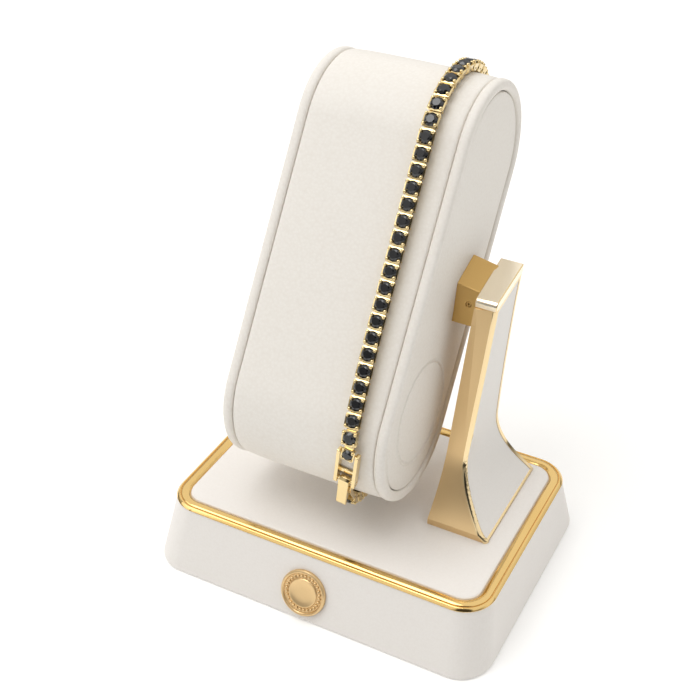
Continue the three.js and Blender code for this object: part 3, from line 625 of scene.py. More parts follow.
def arm_section(height):
    """The arm's inner and outer x and its front and back y at a height."""
    foot = PAD_TOP
    rise = max(0.0, (height - ARM_WAIST_Z) / (ARM_TOP_FRONT[1] - ARM_WAIST_Z))
    rise_back = max(0.0, (height - ARM_WAIST_Z) / (ARM_TOP_BACK[1] - ARM_WAIST_Z))
    fall = (ARM_WAIST_Z - height) / (ARM_WAIST_Z - foot - FOOT_PLINTH)
    out = min(1.0, max(0.0, fall)) ** 2
    fall_outer = (ARM_WAIST_Z - height) / (ARM_WAIST_Z - foot - FOOT_RIM)
    out_outer = min(1.0, max(0.0, fall_outer)) ** 2
    share = (height - foot) / (ARM_TOP_FRONT[1] - foot)
    inner = FOOT_INNER_X + (ARM_TOP_INNER_X - FOOT_INNER_X) * share
    # The front leans back evenly above the waist, and curves forward from there to the foot.
    lean = (ARM_TOP_FRONT[0] - ARM_WAIST_FRONT) / (ARM_TOP_FRONT[1] - ARM_WAIST_Z)
    reach = lean * (ARM_WAIST_Z - foot - FOOT_PLINTH)
    curve = reach * min(1.0, max(0.0, fall)) + (ARM_WAIST_FRONT - FOOT_FRONT - reach) * out
    front = ARM_WAIST_FRONT + (ARM_TOP_FRONT[0] - ARM_WAIST_FRONT) * rise - curve
    back = ARM_WAIST_BACK + (ARM_TOP_BACK[0] - ARM_WAIST_BACK) * rise_back ** ARM_BACK_CURVE
    return {
        "inner": inner,
        "outer": inner + ARM_THICK + (FOOT_THICK - ARM_THICK) * out_outer,
        "front": front,
        "back": back + (FOOT_BACK - ARM_WAIST_BACK) * out,
    }


def reshape_section(now, then, height):
    """Moves the selected section of the arm from one set of sides to another."""
    middle_now = ((now["inner"] + now["outer"]) / 2, (now["front"] + now["back"]) / 2)
    middle_then = ((then["inner"] + then["outer"]) / 2, (then["front"] + then["back"]) / 2)
    bpy.ops.transform.resize(
        value=((then["outer"] - then["inner"]) / (now["outer"] - now["inner"]),
               (then["back"] - then["front"]) / (now["back"] - now["front"]), 1),
        center_override=(*middle_now, height))
    bpy.ops.transform.translate(
        value=(middle_then[0] - middle_now[0], middle_then[1] - middle_now[1], 0))


ARM_TOP_SLOPE = (ARM_TOP_BACK[1] - ARM_TOP_FRONT[1]) / (ARM_TOP_BACK[0] - ARM_TOP_FRONT[0])
CAP_THICK = 1.7
CAP_LIP = 0.12


def arm_shaft():
    """The arm without its cap: drawn up section by section, with a long facet cut on its front."""
    foot = arm_section(PAD_TOP)
    centre = ((foot["inner"] + foot["outer"]) / 2, (foot["front"] + foot["back"]) / 2, PAD_TOP)
    piece = primitive(bpy.ops.mesh.primitive_plane_add, "gold_arm", size=1, location=centre)
    bpy.ops.transform.resize(value=(foot["outer"] - foot["inner"], foot["back"] - foot["front"], 1))
    freeze()
    plinth = PAD_TOP + FOOT_PLINTH
    shaft_top = ARM_TOP_FRONT[1] - CAP_THICK
    heights = [PAD_TOP + FOOT_RIM]
    heights += [plinth + (ARM_WAIST_Z - plinth) * i / 16 for i in range(17)]
    heights += [ARM_WAIST_Z + (shaft_top - ARM_WAIST_Z) * i / 8 for i in range(1, 9)]
    open_up(piece)
    bpy.ops.mesh.select_all(action="SELECT")
    now, low = foot, PAD_TOP
    for height in heights:
        then = arm_section(height)
        bpy.ops.mesh.extrude_region_move(TRANSFORM_OT_translate={"value": (0, 0, height - low)})
        reshape_section(now, then, height)
        now, low = then, height
    # The top slopes up to the back.
    pick("VERT", lambda v: v.co.z > shaft_top - 0.01 and v.co.y > (now["front"] + now["back"]) / 2)
    bpy.ops.transform.translate(
        value=(0, ARM_TOP_BACK[0] - now["back"], ARM_TOP_SLOPE * (ARM_TOP_BACK[0] - now["front"])))
    fill_bottom(PAD_TOP)
    face_outwards()
    cut_front_facet()
    close_up()
    return piece


def cut_front_facet():
    """Turns the outer part of the arm's front a little sideways, wide at the top and gone at the
    waist, so that a crisp line runs down the front."""
    turn = math.tan(math.radians(13.4))
    line_x, line_z, slant, fade_length = 16.0, 55.0, 0.066, 14
    line_at = lambda z: line_x + (line_z - z) * slant
    pick("FACE", lambda f: f.normal.y < -0.8 and middle(f).z > ARM_WAIST_Z)
    bpy.ops.mesh.bisect(plane_co=(line_x, 0, line_z), plane_no=(1, 0, slant))
    shape = bmesh.from_edit_mesh(bpy.context.object.data)
    for height in sorted({round(v.co.z, 3) for v in shape.verts}):
        if height < ARM_WAIST_Z + 1:
            continue
        section = arm_section(height)
        front = section["front"] + 1.0
        pick("VERT", lambda v: abs(v.co.z - height) < 0.01 and v.co.x > section["outer"] - 0.3
             and v.co.y < front)
        fade = min(1.0, (height - ARM_WAIST_Z) / fade_length)
        bpy.ops.transform.translate(value=(0, turn * fade * (section["outer"] - line_at(height)), 0))
    on_line = lambda v: abs(v.co.x - line_at(v.co.z)) < 0.02 and v.co.z > ARM_WAIST_Z + 1
    pick("EDGE", lambda e: all(on_line(v) for v in e.verts) and abs(run_of(e).z) > 0.5)
    bpy.ops.mesh.mark_sharp()


def gold_arm():
    """The arm and its leather inlay, which fills a pocket in its outer face."""
    rim, pocket, bead, proud = 0.8, 0.42, 0.62, 0.16
    on_rim, on_inlay = 1, 2
    piece = arm_shaft()
    for finish in (SATIN_GOLD, RIM_GOLD, INLAY_LEATHER):
        piece.data.materials.append(finish)
    open_up(piece)
    low = PAD_TOP + FOOT_RIM
    pick("FACE", lambda f: f.normal.x > 0.45 and middle(f).z > low)
    assign_finish(piece, on_rim)
    bpy.ops.mesh.inset(thickness=rim, use_even_offset=True, use_boundary=True)
    assign_finish(piece, on_inlay)
    # The rim is thinner along the bottom.
    pick("VERT", lambda v: low + 0.1 < v.co.z < low + 0.8
         and {on_rim, on_inlay} <= {f.material_index for f in v.link_faces})
    bpy.ops.transform.translate(value=(0.4, 0, -0.3))
    pick("FACE", lambda f: f.material_index == on_inlay)
    bpy.ops.mesh.duplicate()
    bpy.ops.mesh.separate(type="SELECTED")
    inlay = next(o for o in bpy.context.selected_objects if o != piece)
    pick("FACE", lambda f: f.material_index == on_inlay)
    bpy.ops.mesh.extrude_region_move(TRANSFORM_OT_translate={"value": (-pocket, 0, 0)})
    # A polished bead, a little proud, runs down the front edge beside the inlay.
    pick("EDGE", is_front_edge)
    bpy.ops.mesh.bevel(offset=bead, segments=6, affect="EDGES", material=on_rim)
    bpy.ops.mesh.extrude_region_shrink_fatten(TRANSFORM_OT_shrink_fatten={"value": proud})
    close_up()
    round_edges(piece, 0.16, segments=3, angle=38, material=on_rim)

    cap = arm_cap()
    whole = weld([piece, cap], "gold_arm")
    dress(settle(whole), SATIN_GOLD, ["arm_post"])

    inlay.name = "arm_inlay_leather"
    inlay.data.materials.clear()
    open_up(inlay)
    bpy.ops.mesh.select_all(action="SELECT")
    bpy.ops.mesh.remove_doubles(threshold=1e-4)
    bpy.ops.mesh.inset(thickness=0.05, use_even_offset=True, use_boundary=True)
    close_up()
    open_up(inlay)
    # The strip round its edge goes, so that a fine line is left.
    pick_open_edges()
    bpy.ops.mesh.select_mode(type="VERT")
    bpy.ops.mesh.delete(type="VERT")
    bpy.ops.mesh.select_all(action="SELECT")
    bpy.ops.transform.translate(value=(-0.08, 0, 0))
    bpy.ops.mesh.extrude_region_move(TRANSFORM_OT_translate={"value": (-0.3, 0, 0)})
    face_outwards()
    close_up()
    round_edges(inlay, 0.12, segments=3, angle=38)
    dress(settle(inlay), INLAY_LEATHER, ["arm_inlay"])


def assign_finish(piece, slot):
    """Gives the selected faces one of the piece's finishes."""
    piece.active_material_index = slot
    bpy.ops.object.material_slot_assign()


def is_front_edge(edge):
    """Whether an edge runs up the arm's front, where it meets the outer face."""
    for v in edge.verts:
        section = arm_section(v.co.z)
        if abs(v.co.x - section["outer"]) > 0.05 or v.co.y > section["front"] + 1.0:
            return False
    return abs(run_of(edge).z) > 0.2


def arm_cap():
    """The flat cap on the arm, a little wider than the shaft, with a polished round edge."""
    top = arm_section(ARM_TOP_FRONT[1])
    low = (top["inner"] - CAP_LIP, ARM_TOP_FRONT[0] - CAP_LIP, ARM_TOP_FRONT[1] - CAP_THICK)
    high = (top["outer"] + CAP_LIP, ARM_TOP_BACK[0] + CAP_LIP, ARM_TOP_FRONT[1])
    piece = block("arm_cap", low, high)
    open_up(piece)
    pick("VERT", lambda v: v.co.y > (low[1] + high[1]) / 2)
    bpy.ops.transform.translate(value=(0, 0, ARM_TOP_SLOPE * (high[1] - low[1])))
    # It widens a little towards the back, over the end of the block.
    pick("VERT", lambda v: v.co.y > (low[1] + high[1]) / 2 and v.co.x < (low[0] + high[0]) / 2)
    bpy.ops.transform.translate(value=(-0.3, 0, 0))
    # The front edge is rolled broadly, and the others a little.
    pick("EDGE", lambda e: abs(run_of(e).x) > 0.9 and middle(e).y < low[1] + 0.1
         and middle(e).z > high[2] - 0.3)
    bpy.ops.mesh.bevel(offset=0.95, segments=8, affect="EDGES")
    close_up()
    # The cap takes the paler gold, a painted highlight.
    piece.data.materials.append(CAP_GOLD_PAINTED_HIGHLIGHT)
    piece.data.materials.append(RIM_GOLD)
    round_edges(piece, 0.2, segments=4, angle=38, material=1)
    return piece


def pivot_block():
    """The block between the pillow and the arm, with a small set screw in its front. Its top
    rises to the back and its front leans back."""
    start = PILLOW_AT[0] + PILLOW_WIDTH / 2 - 0.45
    end = arm_section(BLOCK_MIDDLE[1])["inner"] + 0.35
    half_deep = BLOCK_DEPTH / 2 * math.cos(BLOCK_RISE + BLOCK_LEAN)
    rise = BLOCK_DEPTH / 2 * math.sin(BLOCK_RISE + BLOCK_LEAN)
    piece = block("pivot_block", (start, -half_deep, -BLOCK_HEIGHT / 2),
                  (end, half_deep, BLOCK_HEIGHT / 2))
    open_up(piece)
    for side in (1, -1):
        pick("VERT", lambda v: v.co.y * side > 0)
        bpy.ops.transform.translate(value=(0, 0, side * rise))
    close_up()
    at = (13.4, -half_deep, -rise + 0.3)
    hole = rod("screw_hole", 0.5, (at[0], at[1] - 1, at[2]), (at[0], at[1] + 0.6, at[2]), 24)
    combine(piece, hole, "DIFFERENCE")
    # The end by the arm is lower, so that it runs in under the cap.
    open_up(piece)
    for side, back, down in ((1, 0.9, -1.3), (-1, 0.3, -0.9)):
        pick("VERT", lambda v: v.co.x > end - 0.01 and v.co.y * side > 0 and v.co.z > side * rise)
        bpy.ops.transform.translate(value=(0, back, down))
    close_up()
    round_edges(piece, 0.22, segments=3, angle=38)
    place = Matrix.Translation((0, *BLOCK_MIDDLE)) @ Matrix.Rotation(-BLOCK_LEAN, 4, "X")
    # The block and its screw take the deeper gold, painted shade.
    dress(settle(piece, place), BLOCK_GOLD_PAINTED_SHADE, ["pivot_block"])
    screw = rod("set_screw", 0.46, (at[0], at[1] + 0.7, at[2]), (at[0], at[1] + 0.25, at[2]), 20)
    socket = rod("socket", 0.24, (at[0], at[1] + 0.6, at[2]), (at[0], at[1] - 0.1, at[2]), 6)
    combine(screw, socket, "DIFFERENCE")
    dress(settle(screw, place), BLOCK_GOLD_PAINTED_SHADE)


# Bracelet

LINE_RADIUS = PILLOW_THICK / 2 + LINE_HEIGHT
LINE_LENGTH = 2 * PILLOW_STRAIGHT + 2 * math.pi * LINE_RADIUS
FIRST_STONE_AT = PILLOW_STRAIGHT / 2 + FIRST_STONE_ANGLE * LINE_RADIUS
LAST_STONE_AT = PILLOW_STRAIGHT / 2 + LAST_STONE_ANGLE * LINE_RADIUS + LINE_LENGTH
PITCH = (LAST_STONE_AT - FIRST_STONE_AT) / (STONE_COUNT - 1)
CLASP_RADIUS = PILLOW_THICK / 2 + CLASP_HEIGHT
CLASP_LEAN = math.atan2(CLASP_SEAT, CLASP_RADIUS)
CLASP_LIFT = math.hypot(CLASP_RADIUS, CLASP_SEAT) - LINE_RADIUS


def station(distance):
    """The angle and height at a distance along the bracelet, from the middle of the front down."""
    half = PILLOW_STRAIGHT / 2
    turn = math.pi * LINE_RADIUS
    s = distance % LINE_LENGTH
    if s < half:
        return 0.0, -s
    if s < half + turn:
        return (s - half) / LINE_RADIUS, -half
    if s < half + turn + PILLOW_STRAIGHT:
        return math.pi, s - turn - PILLOW_STRAIGHT
    if s < half + 2 * turn + PILLOW_STRAIGHT:
        return math.pi + (s - half - turn - PILLOW_STRAIGHT) / LINE_RADIUS, half
    return 2 * math.pi, LINE_LENGTH - s


def round_pillow(angle, height_on_pillow, off_leather, side):
    """A place on the bracelet's way: x across, y along the line, z away from the leather."""
    out = Vector((0, -math.cos(angle), -math.sin(angle)))
    along = Vector((0, math.sin(angle), -math.cos(angle)))
    at = Vector((BRACELET_X + side, 0, height_on_pillow)) + (PILLOW_THICK / 2 + off_leather) * out
    return PILLOW @ frame_of(along.cross(out), along, out, at)


def sway(index):
    """How far the bracelet lies to the right at a setting, smooth between the measured ones."""
    last = len(SWAY) - 1

    def slope(k):
        start, end = SWAY[max(k - 1, 0)], SWAY[min(k + 1, last)]
        return (end[1] - start[1]) / (end[0] - start[0])

    k = 0
    while k < last - 1 and index > SWAY[k + 1][0]:
        k += 1
    width = SWAY[k + 1][0] - SWAY[k][0]
    t = (index - SWAY[k][0]) / width
    rise = SWAY[k + 1][1] - SWAY[k][1]
    bend = (slope(k) * (1 - t) - slope(k + 1) * t) * width - rise * (1 - 2 * t)
    return SWAY[k][1] + rise * t + t * (1 - t) * bend


def link_turn(index):
    """The setting in the clasp turns with it, and the others follow the line."""
    if index == STONE_COUNT - 1:
        return -CLASP_TURN
    step = 0.25
    return math.atan2(sway(index + step) - sway(index - step), 2 * step * PITCH)


def link_place(index):
    """The place of a setting. Those next to the clasp rise to meet it, and the last is smaller."""
    angle, height = station(FIRST_STONE_AT + index * PITCH)
    from_end = min(index, STONE_COUNT - 1 - index)
    lift = CLASP_LIFT * max(0.0, 1 - from_end / LIFT_LINKS) ** 2
    size = LAST_SHARE if index == STONE_COUNT - 1 else 1.0
    return (round_pillow(angle, height, LINE_HEIGHT + lift, sway(index))
            @ Matrix.Rotation(link_turn(index), 4, "Z") @ Matrix.Scale(size, 4))


def knuckle_place(index):
    """The place of the piece between a setting and the next one."""
    a = link_place(index).translation
    b = link_place(index + 1).translation
    along = (b - a).normalized()
    out = Vector((1, 0, 0)).cross(along).normalized()
    return frame_of(along.cross(out), along, out, (a + b) / 2)


def cut_stone():
    """One stone, cut facet by facet: a table, eight stars, eight mains, sixteen facets along
    the girdle and a pointed back."""
    bottom = SETTING_TOP - 1.15
    girdle_top = SETTING_TOP + GIRDLE
    table = girdle_top + CROWN_HEIGHT
    piece = primitive(bpy.ops.mesh.primitive_cylinder_add, "stone", vertices=16,
                      radius=STONE_RADIUS, depth=table - bottom,
                      location=(0, 0, (table + bottom) / 2))
    freeze()
    open_up(piece)
    flat_radius = STONE_RADIUS * math.cos(math.pi / 16)
    table_edge = TABLE_RADIUS * math.cos(math.pi / 8)
    main_angle = math.atan2(CROWN_HEIGHT, STONE_RADIUS - TABLE_RADIUS)
    # How many facets, where the first one lies, which way they look, and a place on them.
    rounds = (
        (16, 0.5, 1, math.radians(47), flat_radius, girdle_top),
        (8, 0, 1, main_angle, STONE_RADIUS, girdle_top),
        (8, 0.5, 1, math.radians(27), table_edge, table),
        (8, 0, -1, math.radians(41), STONE_RADIUS, SETTING_TOP),
    )
    for count, first, upward, lean, radius, height in rounds:
        for i in range(count):
            azimuth = math.tau * (i + first) / count
            way = Vector((math.cos(azimuth), math.sin(azimuth), 0))
            normal = way * math.sin(lean) + Vector((0, 0, upward * math.cos(lean)))
            bpy.ops.mesh.select_all(action="SELECT")
            bpy.ops.mesh.bisect(plane_co=way * radius + Vector((0, 0, height)), plane_no=normal,
                                use_fill=True, clear_outer=True)
    face_outwards(threshold=1e-3)
    close_up()
    return piece


def basket():
    """The basket of one setting: a tapered wall with an oval opening in each side."""
    top, bottom = SETTING_TOP - 0.06, -SETTING_TOP
    wide, long, foot_wide, foot_long = 1.52, 1.38, 1.12, 0.95
    piece = block("basket", (-wide, -long, bottom), (wide, long, top))
    open_up(piece)
    pick("EDGE", lambda e: abs(run_of(e).z) > 0.9)
    bpy.ops.mesh.bevel(offset=0.42, segments=3, affect="EDGES")
    pick("VERT", lambda v: v.co.z < bottom + 0.01)
    bpy.ops.transform.resize(value=(foot_wide / wide, foot_long / long, 1),
                             center_override=(0, 0, bottom))
    remove(lambda f: abs(f.normal.z) > 0.9)
    close_up()
    apply_modifier(piece, "SOLIDIFY", thickness=0.3, offset=-1, use_even_offset=True)
    for turn, half_wide, half_high in ((0, 0.22, 0.16), (90, 0.3, 0.24)):
        cutter = primitive(bpy.ops.mesh.primitive_cylinder_add, "opening", vertices=14, radius=1,
                           depth=5, location=(0, 0, -0.18), rotation=(0, math.pi / 2, 0))
        bpy.ops.object.transform_apply(location=False, rotation=True, scale=True)
        bpy.ops.transform.resize(value=(1, half_wide, half_high))
        cutter.rotation_euler = (0, 0, math.radians(turn))
        freeze()
        combine(piece, cutter, "DIFFERENCE")
    return piece


def setting():
    """One setting: its basket and four prongs that end in beads over the stone's edge."""
    parts = [basket()]
    for sx in (1, -1):
        for sy in (1, -1):
            foot = (sx * 1.14, sy * 0.94, -0.35)
            neck = (sx * 1.17, sy * 0.97, 0.93)
            parts.append(rod("prong", PRONG_RADIUS, foot, neck, 8))
            parts.append(primitive(bpy.ops.mesh.primitive_ico_sphere_add, "bead", subdivisions=2,
                                   radius=BEAD_RADIUS, location=(sx * 1.08, sy * 0.92, 1.0)))
            bpy.ops.transform.resize(value=(1.0, 1.0, BEAD_FLATNESS))
            freeze()
    return weld(parts, "setting")


def knuckle():
    """The rounded piece between two settings."""
    piece = block("knuckle", (-0.9, -0.72, -0.45), (0.9, 0.72, 0.42))
    round_edges(piece, 0.16)
    return piece


def copies(master, places):
    """Copies of a master at several places, each with its own mesh."""
    made = []
    for place in places:
        copy = master.copy()
        copy.data = master.data.copy()
        bpy.context.scene.collection.objects.link(copy)
        copy.matrix_world = place
        made.append(copy)
    return made


def bracelet():
    """The line of stones, in two lengths: up the back and over, and down the front."""
    stone = cut_stone()
    one_setting = setting()
    one_knuckle = knuckle()
    lengths = (("back", 0, FIRST_FRONT_LINK), ("front", FIRST_FRONT_LINK, STONE_COUNT))
    for side, first, end in lengths:
        links = [link_place(i) for i in range(first, end)]
        joints = [knuckle_place(i) for i in range(first, min(end, STONE_COUNT - 1))]
        metal = weld(copies(one_setting, links) + copies(one_knuckle, joints), f"settings_{side}")
        dress(settle(metal), CHAIN_GOLD, [f"strand_{side}"], angle=40)
        stones = weld(copies(stone, links), f"stones_{side}")
        dress(settle(stones), STONE_BLACK, angle=4)
    for master in (stone, one_setting, one_knuckle):
        bpy.data.objects.remove(master)


# Clasp, in a frame of its own: x across, y along the clasp from its upper pivot, z outwards

CLASP = (round_pillow(LAST_STONE_ANGLE + CLASP_LEAN, -PILLOW_STRAIGHT / 2, CLASP_HEIGHT,
                      sway(STONE_COUNT - 1))
         @ Matrix.Translation((0, -CLASP_SEAT, 0)) @ Matrix.Rotation(-CLASP_TURN, 4, "Z"))


def clasp_rail(side):
    """One side rail, round at both ends, with the heads of its pivot and its pin."""
    x0, x1 = sorted((side * RAIL_INNER, side * RAIL_OUTER))
    piece = block("rail", (x0, -0.45, -RAIL_HALF), (x1, RAIL_LENGTH + RAIL_HALF, RAIL_HALF))
    open_up(piece)
    pick("EDGE", lambda e: abs(run_of(e).x) > 0.9 and middle(e).z > 0)
    bpy.ops.mesh.bevel(offset=RAIL_HALF * 0.3, segments=4, affect="EDGES")
    pick("EDGE", lambda e: abs(run_of(e).x) > 0.9 and middle(e).z < 1e-3 - RAIL_HALF)
    bpy.ops.mesh.bevel(offset=RAIL_HALF * 0.6, segments=6, affect="EDGES")
    close_up()
    round_edges(piece, 0.07, angle=50)
    parts = [piece]
    for radius, y in ((0.3, 0.0), (0.36, PIN_AT)):
        ring = rod("ring", radius + 0.1, (side * (RAIL_OUTER - 0.12), y, 0),
                   (side * (RAIL_OUTER + 0.4), y, 0), 20)
        combine(piece, ring, "DIFFERENCE")
        head = rod("head", radius, (side * (RAIL_OUTER - 0.3), y, 0),
                   (side * (RAIL_OUTER + 0.02), y, 0), 20, tip=radius * 0.8)
        parts.append(head)
    return weld(parts, "rail")


def clasp_frame():
    """The clasp's frame: two rails, the crossbar between them and the lever's pin."""
    bar = block("crossbar", (-RAIL_INNER - 0.3, 4.7, -0.65), (RAIL_INNER + 0.3, 5.6, -0.25))
    round_edges(bar, 0.12)
    pin = rod("pin", 0.34, (-RAIL_INNER - 0.2, PIN_AT, 0), (RAIL_INNER + 0.2, PIN_AT, 0), 16)
    pivot = rod("pivot", 0.25, (-RAIL_INNER - 0.2, 0, 0), (RAIL_INNER + 0.2, 0, 0), 12)
    whole = weld([clasp_rail(1), clasp_rail(-1), bar, pin, pivot], "clasp_frame_gold")
    dress(settle(whole, CLASP), CHAIN_GOLD, ["clasp_frame"])


def clasp_lever():
    """The fold-over lever: a flat plate with a bevelled upper edge and a lip at its tip, two
    cheeks under it and a barrel round the pin."""
    back, tip = PIN_AT - 0.75, PIN_AT + 5.75
    under = LEVER_TOP - 0.5
    top_plate = block("lever_plate", (-LEVER_WIDE, back, under), (LEVER_WIDE, tip, LEVER_TOP))
    open_up(top_plate)
    for y, width, segments in ((back, 0.34, 1), (tip, 0.14, 2)):
        pick("EDGE", lambda e: abs(run_of(e).x) > 0.9 and abs(middle(e).y - y) < 0.01
             and middle(e).z > under + 0.1)
        bpy.ops.mesh.bevel(offset=width, segments=segments, affect="EDGES")
    close_up()
    round_edges(top_plate, 0.06, angle=50)
    lip = block("lever_lip", (-LEVER_WIDE, tip - 0.36, under - 0.2),
                (LEVER_WIDE, tip + 0.02, under + 0.2))
    round_edges(lip, 0.06)
    parts = [top_plate, lip]
    for side in (1, -1):
        x0, x1 = sorted((side * (LEVER_WIDE - 0.35), side * (LEVER_WIDE - 0.015)))
        cheek = block("cheek", (x0, PIN_AT, -0.1), (x1, tip - 0.9, under + 0.1))
        open_up(cheek)
        pick("VERT", lambda v: v.co.y > tip - 1 and v.co.z < 0)
        bpy.ops.transform.translate(value=(0, -0.7, 0))
        close_up()
        round_edges(cheek, 0.05)
        parts.append(cheek)
    barrel = rod("barrel", 0.74, (-LEVER_WIDE + 0.02, PIN_AT, 0), (LEVER_WIDE - 0.02, PIN_AT, 0), 28)
    round_edges(barrel, 0.05)
    parts.append(barrel)
    whole = weld(parts, "clasp_lever_gold")
    dress(settle(whole, CLASP), CHAIN_GOLD, ["clasp_lever"], body="clasp_lever")


def clasp_tongue():
    """The far end's link: two side plates beside the lever, a catch bar and a web between them."""
    first = CLASP.inverted() @ link_place(0)
    along = Vector((0, *first.col[1].yz)).normalized()
    out = Vector((0, -along.z, along.y))
    end = Vector((0, *first.translation.yz)) - along * 1.6
    start, catch_at, drop = 7.55, 9.1, 0.5
    parts = []
    for side in (1, -1):
        x0, x1 = sorted((side * TONGUE_INNER, side * TONGUE_OUTER))
        cheek = block("tongue_plate", (x0, start, -drop - 0.3), (x1, catch_at + 0.5, 0.1))
        open_up(cheek)
        pick("FACE", lambda f: f.normal.y > 0.9)
        bpy.ops.mesh.extrude_region_move(TRANSFORM_OT_translate={
            "value": (0, end.y - catch_at - 0.5, end.z + drop / 2 + 0.1)})
        bpy.ops.transform.resize(value=(1, 1, 0.7 / (drop + 0.4)))
        pick("EDGE", lambda e: abs(run_of(e).x) > 0.9 and middle(e).y < start + 0.1)
        bpy.ops.mesh.bevel(offset=0.3, segments=5, affect="EDGES")
        close_up()
        round_edges(cheek, 0.05, angle=40)
        parts.append(cheek)
    parts.append(rod("catch_bar", 0.26, (-1.25, catch_at, -drop), (1.25, catch_at, -drop), 16))
    web = block("web", (-1.25, -0.9, -0.33), (1.25, 0.35, 0.33))
    round_edges(web, 0.12)
    web.matrix_world = frame_of((1, 0, 0), along, out, end)
    only(web)
    freeze()
    parts.append(web)
    whole = weld(parts, "clasp_tongue_gold")
    dress(settle(whole, CLASP), CHAIN_GOLD, ["clasp_tongue"])


# Stage

VIEW_AZIMUTH = math.radians(26.951)
VIEW_ELEVATION = math.radians(34.973)
VIEW_ROLL = math.radians(0.739)
VIEW_BACK = Vector((math.sin(VIEW_AZIMUTH) * math.cos(VIEW_ELEVATION),
                    -math.cos(VIEW_AZIMUTH) * math.cos(VIEW_ELEVATION), math.sin(VIEW_ELEVATION)))
CAMERA_AT = Vector((81.39, -170.193, 177.346)) * MM
LENS = 65.07
SENSOR = 36
# Painted shade on the floor: the spot where its colour is darkest, how far from there the darkening
# ends, the share of colour left there, and the floor's glow, which is darkened with it.
PAINTED_SHADE_SPOT = (-0.10, -0.23, 0)
PAINTED_SHADE_FROM, PAINTED_SHADE_TO, PAINTED_SHADE_LEFT = 0.03, 0.15, 0.42
FLOOR_GLOW = 0.13
# Heights in the sky in front, and how bright it is there.
FRONT_SKY = ((0.0, 0.02), (0.1, 0.02), (0.17, 0.4), (0.34, 0.4), (0.44, 0.2), (0.62, 0.97), (1.0, 0.9))
# The soft lights: name, place, the point each looks at, width in metres and power in watts.
SOFT_BOXES = (
    ("light_above", (-0.16, -0.16, 0.60), (0, 0, 0.03), 0.4, 1.35),
    ("light_left", (-0.55, -0.35, 0.42), (0, 0, 0.05), 0.45, 0.7),
)


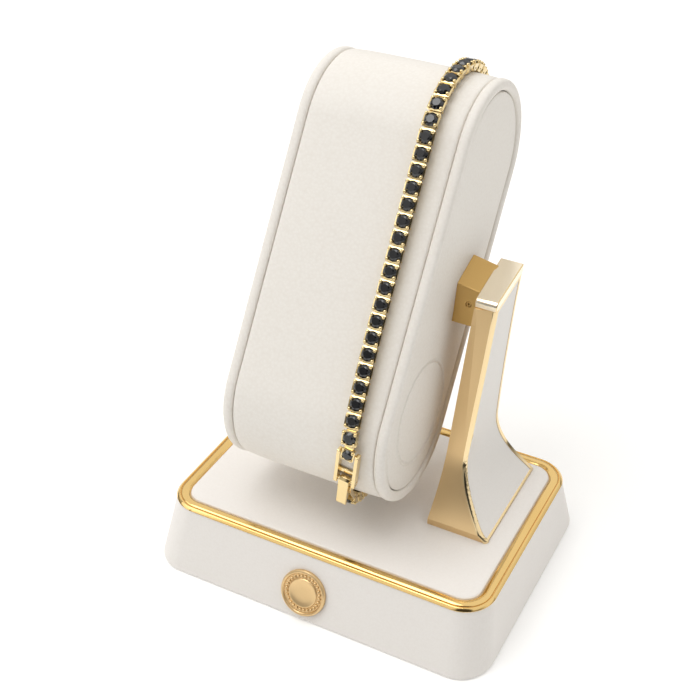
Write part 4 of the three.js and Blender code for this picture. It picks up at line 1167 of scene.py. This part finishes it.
def studio():
    """A plain pale floor, soft light from above and the left, and the photograph's camera."""
    floor = primitive(bpy.ops.mesh.primitive_plane_add, "floor", size=6, location=(0, 0, 0))
    # A sweep of white paper: matt, with fibres that hardly show.
    paper, tree, shader, place = new_material("white_paper_sweep")
    fibres = add(tree, "ShaderNodeTexNoise", {}, {"Scale": 400.0, "Detail": 3.0}, {"Vector": place})
    mixed = add(tree, "ShaderNodeMix", {"data_type": "RGBA"},
                {6: linear("#FBFBFA"), 7: linear("#F8F8F7")}, {0: fibres.outputs["Fac"]})
    # Painted shade: the sweep's colour and glow darken towards a spot to the front left, outside the
    # picture.
    away = add(tree, "ShaderNodeVectorMath", {"operation": "DISTANCE"}, {1: PAINTED_SHADE_SPOT}, {0: place})
    fall = add(tree, "ShaderNodeMapRange", {"interpolation_type": "SMOOTHSTEP"},
               span(PAINTED_SHADE_FROM, PAINTED_SHADE_TO, PAINTED_SHADE_LEFT), {"Value": away.outputs["Value"]})
    paper_with_painted_shade = add(tree, "ShaderNodeMix", {"data_type": "RGBA", "blend_type": "MULTIPLY"}, {0: 1.0},
                 {6: mixed.outputs[2], 7: fall.outputs[0]})
    glow = add(tree, "ShaderNodeMath", {"operation": "MULTIPLY"}, {1: FLOOR_GLOW},
               {0: fall.outputs[0]})
    feed(tree, shader, {"Roughness": 0.9, "Specular IOR Level": 0.1, "Emission Color": (1, 1, 1, 1)},
         {"Base Color": paper_with_painted_shade.outputs[2], "Emission Strength": glow.outputs[0]})
    floor.data.materials.append(paper)

    scene = bpy.context.scene
    world = scene.world or bpy.data.worlds.new("studio")
    scene.world = world
    world.use_nodes = True
    sky = world.node_tree
    sky.nodes.clear()
    # Bright overhead and behind. In front it is dimmer, dark along the horizon, and dark where
    # the photographer stands, so that polished metal shows crisp dark lines.
    direction = add(sky, "ShaderNodeTexCoord").outputs["Generated"]
    split = add(sky, "ShaderNodeSeparateXYZ", {}, {}, {0: direction})
    behind = add(sky, "ShaderNodeMapRange", {"interpolation_type": "SMOOTHSTEP"},
                 span(0.04, 0.35, 0.12, 0.98), {"Value": split.outputs["Z"]})
    before = add(sky, "ShaderNodeValToRGB", {}, {}, {"Fac": split.outputs["Z"]})
    stops = before.color_ramp.elements
    for position, value in FRONT_SKY:
        stop = next((s for s in stops if s.position == position), None) or stops.new(position)
        stop.color = (value, value, value, 1)
    side = add(sky, "ShaderNodeMapRange", {"interpolation_type": "SMOOTHSTEP"},
               span(-0.3, 0.2), {"Value": split.outputs["Y"]})
    around = add(sky, "ShaderNodeMix", {"data_type": "FLOAT"}, {},
                 {0: side.outputs[0], 2: before.outputs["Color"], 3: behind.outputs[0]})
    toward = add(sky, "ShaderNodeVectorMath", {"operation": "DOT_PRODUCT"},
                 {1: tuple(VIEW_BACK)}, {0: direction})
    photographer = add(sky, "ShaderNodeMapRange", {"interpolation_type": "SMOOTHSTEP"},
                       span(0.9, 0.955, 1.0, 0.06), {"Value": toward.outputs["Value"]})
    level = add(sky, "ShaderNodeMath", {"operation": "MULTIPLY"}, {},
                {0: around.outputs[0], 1: photographer.outputs[0]})
    glowing = add(sky, "ShaderNodeBackground", {}, {"Color": (1.0, 0.985, 0.965, 1)},
                  {"Strength": level.outputs[0]})
    add(sky, "ShaderNodeOutputWorld", {}, {}, {"Surface": glowing.outputs[0]})

    for soft in SOFT_BOXES:
        soft_box(*soft)

    camera = bpy.data.objects.new("camera", bpy.data.cameras.new("camera"))
    scene.collection.objects.link(camera)
    right = Vector((math.cos(VIEW_AZIMUTH), math.sin(VIEW_AZIMUTH), 0))
    up = VIEW_BACK.cross(right)
    across = right * math.cos(VIEW_ROLL) + up * math.sin(VIEW_ROLL)
    upward = up * math.cos(VIEW_ROLL) - right * math.sin(VIEW_ROLL)
    camera.matrix_world = frame_of(across, upward, VIEW_BACK, CAMERA_AT)
    camera.data.lens = LENS
    camera.data.sensor_width = SENSOR
    camera.data.clip_start = 0.01
    scene.camera = camera
    scene.view_settings.view_transform = "Standard"


def soft_box(name, at, target, size, power):
    """A square area light that looks at a point."""
    light = bpy.data.lights.new(name, "AREA")
    light.shape = "SQUARE"
    light.size = size
    light.energy = power
    lamp = bpy.data.objects.new(name, light)
    bpy.context.scene.collection.objects.link(lamp)
    lamp.location = at
    lamp.rotation_euler = (Vector(target) - Vector(at)).to_track_quat("-Z", "Y").to_euler()


base_leather()
gold_moulding()
top_pad()
round_boss()
pillow_leather()
rolled_rim("left", "pillow_rim_left", LEFT_END)
rolled_rim("right", "pillow_rim_right", RIGHT_END)
end_panel("left", "pillow_end_left", LEFT_END)
end_panel("right", "pillow_end_right", RIGHT_END)
gold_arm()
pivot_block()
bracelet()
clasp_frame()
clasp_lever()
clasp_tongue()
studio()

bpy.context.view_layer.update()
